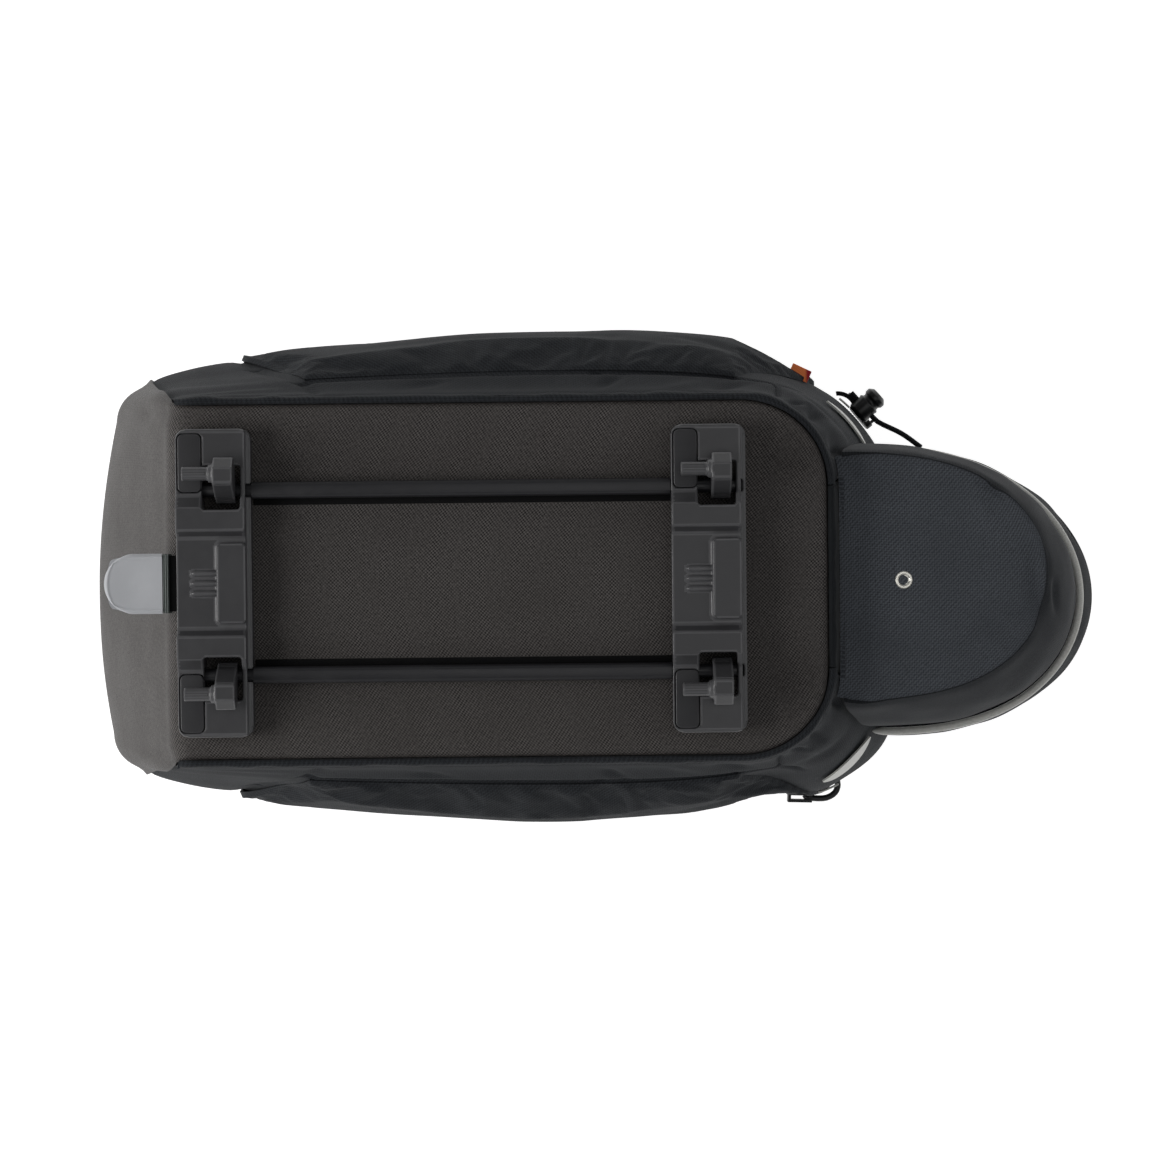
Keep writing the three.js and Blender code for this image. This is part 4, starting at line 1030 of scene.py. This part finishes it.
tailSetup = dict(columns=150, floorRows=90, bandRows=34, seamSink=1.2 * mm, floorSink=2.0 * mm,
                 pipingOut=0.4 * mm, pipingReach=6 * mm, sag=1.2 * mm, wave=0.5 * mm, bandWave=0.9 * mm, folds=[
    # both ends in the plan view, width, height, all in mm
    (101, 44, 118, 42, 4.0, 1.6), (99, -50, 116, -52, 4.5, 1.4), (175, 8, 179, -23, 4.0, -1.4),
    (156, 36, 163, 31, 2.0, -1.5), (150, 31, 158, 23, 4.0, 0.9), (184, -3, 185.5, -16, 1.3, -1.8),
    (160, -16, 172, -20, 2.2, 0.5), (158, -21, 170, -26, 2.2, -0.5), (154, -26, 165, -31, 2.2, 0.5)])


def tailFolds(point):
    return creased(0, Vector((point.x, point.y)), tailSetup["folds"], mm, mm)


def buildTail():
    s = tailSetup
    gap, cloth = body["gap"], tail["cloth"]

    def floorEdge(forward, side):
        power = tailRows["floor"][2]
        turn = -math.acos(clamp(forward, 0, 1) ** (power / 2))
        return tailPoint("floor", tail["floorRoot"], tail["floorEnd"], side * turn, -gap)

    def rootPoint(across):
        way = 2 * across - 1
        place = lerp(5, tailRows["floor"][0] + tail["rootStep"], abs(way))
        point = wallPoint(tail["floorRoot"] + cloth, place, 2 * gap, 1 if way < 0 else -1)
        point.z = body["height"] - tail["floorRoot"]
        return point

    def floor(across, along):
        forward = 0.995 * along
        left, right = floorEdge(forward, 1), floorEdge(forward, -1)
        straight = left.lerp(right, across)
        point = rootPoint(across).lerp(straight, smooth(along, 0, 0.22))
        edge = min(across, 1 - across) * (left - right).length
        sink = s["floorSink"] * (math.exp(-edge / (1.5 * mm)) + math.exp(-(1 - along) * 100 / 1.6))
        sag = s["sag"] * arch(across, 2) * arch(along, 2)
        wave = s["wave"] * ripple(point.x, point.y, 0, 30, 3.0)
        return point + Vector((0, 0, tailFolds(point) + sag + wave - sink))

    sewn("tailBottom", 80, s["floorRows"], floor, cloth, "cloth", "tail_bottom", "tailCloth",
         (0.14, 0, 0.1))

    def band(fromRow, fromRoot, fromEnd, toRow, toDepth, swellBy, sinkBy, seed):
        def shape(along, down):
            turn = turnAt(lerp(0.004, 0.996, along))
            swell = swellBy * arch(down, 2) ** 1.5 - s["seamSink"] * tuck(down, 45 * mm, 1.6 * mm)
            swell -= sinkBy * math.exp(-(1 - down) * 50 * mm / s["pipingReach"])
            swell += s["bandWave"] * ripple(along * 12, down * 2.5, seed, 1.2, seed) * arch(down, 4)
            low = tailPoint(fromRow, fromRoot, fromEnd, turn, swell)
            point = low.lerp(tailPoint(toRow, toDepth, toDepth, turn, swell), down)
            side = Vector((math.cos(turn), -math.sin(turn), 0.3))
            return point + side * tailFolds(point) * (1 - down)
        return shape

    pipingGap = tail["pipingRadius"] + gap
    above, below = tail["pipingDepth"] - pipingGap, tail["pipingDepth"] + pipingGap
    lower = band("floor", tail["floorRoot"] + gap, tail["floorEnd"] + gap, "piping", above,
                 2.2 * mm, 1.7 * mm, 1.0)
    upper = band("piping", below, below, "rim", tail["rimDepth"], 2 * mm, 0, 2.0)
    for name, node, finish, shape in (("tailLowerBand", "tail_lower_band", "bandCloth", lower),
                                      ("tailUpperBand", "tail_upper_band", "cloth", upper)):
        sewn(name, s["columns"], s["bandRows"], shape, cloth, "cloth", node, finish, (0.12, 0, 0.13))

    turns = [turnAt(index / 60) for index in range(61)]
    hemDepth = tail["rimDepth"] + tail["hemRadius"] + gap
    tubes = [
        ("tailPiping", "tail_piping", "piping", tail["pipingDepth"], s["pipingOut"], "pipingRadius",
         "reflective"),
        ("tailHem", "tail_hem", "rim", hemDepth, -cloth / 2, "hemRadius", "smooth")]
    for name, node, row, depth, distance, radius, slot in tubes:
        line = [tailPoint(row, depth, depth, turn, distance) for turn in turns]
        finishPiece(mappedTube(name, line, tail[radius]), slot, replaces=[node])
    print("bottle pocket made")


# Hard pieces: the solids with their edges eased, and a lighter painted highlight finish on the edges

hardPieces = [
    # nodes, slot, edge finish (where it differs from the slot, a lighter painted highlight), then the bevel, or
    # the grain of a moulded piece, in mm
    (["front_bracket", "rear_bracket"], "plastic", "plasticEdge", 0, 0.5),
    (["left_shaft", "right_shaft"], "shaft", "shaftEdge", 0.4, 0),
    ([f"{end}_{side}_hook" for side in ("left", "right") for end in ("front", "rear")],
     "plastic", "plasticEdge", 0, 0.4),
    ([f"{end}_{side}_pad" for end in ("front", "rear") for side in ("left", "right")],
     "rubber", "plastic", 0.35, 0),
    (["left_zip_slider", "right_zip_slider", "left_zip_pull", "cord_lock"], "zip", "zip", 0.3, 0),
    (["drain_eyelet"], "nickel", "nickel", 0.25, 0),
    (["side_label"], "label", "label", 0.2, 0)]
# crease: the bend in degrees beyond which a moulded piece's faces take the painted highlight finish
mouldSetup = dict(rounds=3, crease=7)
bodies = frame["record"]["behaviour"]["bodies"]
nodeBodies = {node: name for name, members in bodies.items() for node in members}


def moulded(piece, grain):  # edges rounded as a mould leaves them, with a lighter painted highlight finish on faces where they turn
    shell = piece.modifiers.new("shell", "REMESH")
    shell.mode = "VOXEL"
    shell.voxel_size = grain
    soften = piece.modifiers.new("soften", "SMOOTH")
    soften.factor = 0.5
    soften.iterations = mouldSetup["rounds"]
    applyModifiers(piece)
    mesh = piece.data
    borders = {}
    for face in mesh.polygons:
        for key in face.edge_keys:
            borders.setdefault(key, []).append(face)
    turned = math.radians(mouldSetup["crease"])
    # Faces on sharp bends take the second finish, a lighter painted highlight.
    for pair in borders.values():
        if len(pair) == 2 and pair[0].normal.dot(pair[1].normal) < math.cos(turned):
            pair[0].material_index = pair[1].material_index = 1
    smoothShade(piece, 80)
    print(piece.name, "moulded,", len(mesh.polygons), "faces")


def buildHardPiece(node, slot, edge, bevel, grain):
    piece = nodes[node].copy()
    piece.data = nodes[node].data.copy()
    piece.parent = None
    for key in list(piece.keys()):
        del piece[key]
    first, *others = node.split("_")
    piece.name = first + "".join(word.capitalize() for word in others)
    bpy.context.scene.collection.objects.link(piece)
    if node == "side_label":
        piece.data.transform(Matrix.Translation(labelSetup["shift"]))
    piece.data.materials.clear()
    # The second finish goes on the eased or creased edge faces: for the plastics and pads a lighter painted
    # highlight.
    for finish in (slot, edge):
        piece.data.materials.append(finishes[finish])
    weld(piece, 0.005 * mm, flatten=3)
    if grain:
        moulded(piece, grain * mm)
    else:
        eased(piece, bevel * mm, 32, 1, 34)
    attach(piece, nodeBodies[node])
    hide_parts(node)


def buildHardPieces():
    for members, *looks in hardPieces:
        for node in members:
            buildHardPiece(node, *looks)
    print("hard pieces made")


# The release tab: a rounded plate with a thumb recess, a fluted strip and a neck under the bracket, black as
# painted shadow

tabSetup = inMm(
    root=-167.4, tip=-190.2, half=11.7, top=207.8, thick=4, edge=1.1, recess=0.9, recessX=-179.5,
    recessLong=8.5, recessWide=7.5, recessSide=1.5, rim=0.25, flute=0.3, stripSink=0.55, stripDrop=0.6,
    stripEnd=-164.8, neckEnd=-147.6, neckTop=206.0, neckThick=2, neckIn=0.8)


def buildTab():
    s = tabSetup
    half, straight = s["half"], (s["root"] - s["tip"]) - s["half"] * 1.05

    def plate(across, along):
        u = 2 * across - 1
        reach = along * (straight + half) / half
        base = straight / half
        if reach < base:
            x, y, near = reach * half, u * half, (1 - abs(u)) * half
        else:
            v = (reach - base) ** 0.92
            x = straight + v * math.sqrt(1 - u * u / 2) * half * 1.05
            y = u * math.sqrt(1 - v * v / 2) * half
            near = half * (1 - max(abs(u), v))
            y = lerp(u * half, y, smooth(v, 0, 0.5))
        drop = s["edge"] * max(0, 1 - near / s["edge"]) ** 2 * 0.8
        spot = Vector((s["root"] - x, y, s["top"]))
        dip = s["recess"] * bell(spot.x - s["recessX"], s["recessLong"])
        dip *= bell(spot.y + s["recessSide"], s["recessWide"])
        rim = s["rim"] * bell(near - 1.3 * mm, 0.5 * mm)
        return spot + Vector((0, 0, rim - drop - dip))

    sewn("releaseTab", 56, 64, plate, s["thick"] * 0.85, "tab", "release_tab", centre=(-0.18, 0, 0.2),
         rides="release_tab")

    def fluted(across, along):
        x = lerp(s["root"] + 0.1 * mm, s["stripEnd"], along)
        y = (2 * across - 1) * (half - 0.2 * mm)
        flute = s["flute"] * abs(math.sin(3 * math.pi * along))
        return Vector((x, y, s["top"] - s["stripSink"] + flute - s["stripDrop"] * along ** 6))

    sewn("tabStrip", 24, 30, fluted, s["thick"] * 0.7, "tab", None, "tabEdge", centre=(-0.166, 0, 0.2),
         rides="release_tab")
    narrow = half - s["neckIn"]
    low = (s["stripEnd"] - 0.5 * mm, -narrow, s["neckTop"] - s["neckThick"])
    neck = softBox("tabNeck", low, (s["neckEnd"], narrow, s["neckTop"]), 0.5 * mm)
    # The neck takes the near-black finish: painted shadow under the bracket's edge.
    finishPiece(neck, "tab", "black", rides="release_tab")
    print("release tab made")


# Small parts of the rack adapter: the ribs on each bar, in the lighter painted highlight finish, and the dark
# strips beside the shafts, laid on the base as painted shadow

ribSetup = dict(bars=(("front", -147 * mm), ("rear", 45.5 * mm)), **inMm(
    start=-7.2, length=7.4, half=1.3, spacing=3.9, height=210.3, rise=1.5))
shaftShadowSetup = inMm(start=-132, end=31.2, inner=30.2, outer=33.4, bottom=200.2, top=201.3, edge=0.4)


def buildAdapterDetails():
    s = ribSetup
    for name, barX in s["bars"]:
        ribs = []
        for row in (-1, 0, 1):
            deselectAll()
            bpy.ops.mesh.primitive_uv_sphere_add(segments=24, ring_count=12, radius=1,
                                                 rotation=(0, math.pi / 2, 0))
            rib = bpy.context.object
            bpy.ops.object.transform_apply(rotation=True)
            for vertex in rib.data.vertices:
                x, y, z = vertex.co
                stretch = s["length"] if x > 1e-6 else 0
                slim = 1 if x > 1e-6 else 1 - 0.15 * abs(x)
                along = barX + s["start"] + x * s["half"] * 1.5 + stretch
                across = row * s["spacing"] + y * s["half"] * slim
                vertex.co = Vector((along, across, s["height"] + z * s["rise"]))
            ribs.append(rib)
        joined = joinPieces(ribs, f"{name}Ribs")
        smoothShade(joined, 60)
        # The ribs take the lighter painted highlight finish all over.
        finishPiece(joined, "plastic", "plasticEdge")
    g = shaftShadowSetup
    for name, side in bothSides:
        near, far = sorted((side * g["inner"], side * g["outer"]))
        low, high = (g["start"], near, g["bottom"]), (g["end"], far, g["top"])
        # Thin near-black strips on the base: painted shadow beside each shaft.
        finishPiece(softBox(f"{name}ShaftGuide", low, high, g["edge"]), "shaft", "black")
    print("adapter details made")


# Small parts at the rear corners: the lock's loop, the right pull's rubber loop and the zip's thin piping

cornerSetup = dict(
    loopPlaces=(3.2, 3.42), pipings=(("right", -1, (2.9, 3.2)), ("left", 1, (3.25, 3.35))),
    **inMm(loopDepth=134, loopWidth=5, loopRise=2.6, loopLift=0.6, loopCloth=1.9, pullRadius=1.35,
           pullHeight=49, pipingDepth=131, pipingLift=1.0, pipingRadius=0.45),
    pullPath=[(90.0, -98.2), (95.5, -99.0), (100.5, -98.8), (104.2, -96.6), (105.4, -93.2), (104.4, -90.6),
              (101.6, -92.6), (98.6, -95.2), (94.6, -96.2), (90.4, -96.6)])


def buildCornerDetails():
    s = cornerSetup

    def strap(along, across):
        lift = s["loopLift"] + s["loopRise"] * math.sin(math.pi * along) ** 0.8
        depth = s["loopDepth"] + (across - 0.5) * s["loopWidth"]
        return wallPoint(depth, lerp(*s["loopPlaces"], along), lift + s["loopCloth"])

    sewn("lockLoop", 36, 8, strap, s["loopCloth"], "cloth", None, "zipTape")
    points = [Vector((x * mm, y * mm, s["pullHeight"])) for x, y in s["pullPath"]]
    pull = mappedTube("rightZipPull", points, s["pullRadius"])
    finishPiece(pull, "zip", replaces=["right_zip_pull"])
    for name, side, places in s["pipings"]:
        spots = [lerp(*places, index / 16) for index in range(17)]
        line = [wallPoint(s["pipingDepth"], spot, s["pipingLift"], side) for spot in spots]
        finishPiece(mappedTube(f"{name}ZipPiping", line, s["pipingRadius"], 8), "reflective")
    print("corner details made")


barrelSetup = inMm(x=123, y=-2, wide=1.76, narrow=0.7, depth=1.5, wall=0.3, sink=0.7)


def buildEyeletBarrel():
    s = barrelSetup
    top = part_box("drain_eyelet")[1][2] - s["sink"]

    def funnel(around, along):
        angle = 2 * math.pi * around
        radius = lerp(s["wide"], s["narrow"], along ** 1.6)
        x, y = s["x"] + radius * math.cos(angle), s["y"] + radius * math.sin(angle)
        return Vector((x, y, top - s["depth"] * along))

    piece = mappedGrid("eyeletBarrel", 40, 14, funnel, (s["x"], s["y"], -1))
    weld(piece, 0.002 * mm)
    thicken(piece, s["wall"])
    finishPiece(piece, "nickel")
    print("eyelet barrel made")


def buildDrawcord():
    node = nodes["pocket_drawcord"]
    node.data.materials.clear()
    node.data.materials.append(finishes["braid"])


buildCamera()
buildLights()
deselectAll()
bpy.ops.mesh.primitive_plane_add(size=floorSetup["size"], location=(0, 0, 0))
floorPiece = bpy.context.object
floorPiece.name = "studioFloor"
floorFinish = Finish("studioFloor", floorSetup["color"], 0.9, Specular_IOR_Level=0.1,
                     Emission_Color=(1, 1, 1, 1), Emission_Strength=floorSetup["glow"])
floorPiece.data.materials.append(floorFinish.material)
print("studio made")

buildFinishes()
buildBase()
buildWalls()
buildPockets()
buildStrips()
buildZip()
buildLid()
buildTail()
buildHardPieces()
buildTab()
buildAdapterDetails()
buildCornerDetails()
buildEyeletBarrel()
buildDrawcord()

bpy.context.scene.view_settings.view_transform = "Standard"
deselectAll()
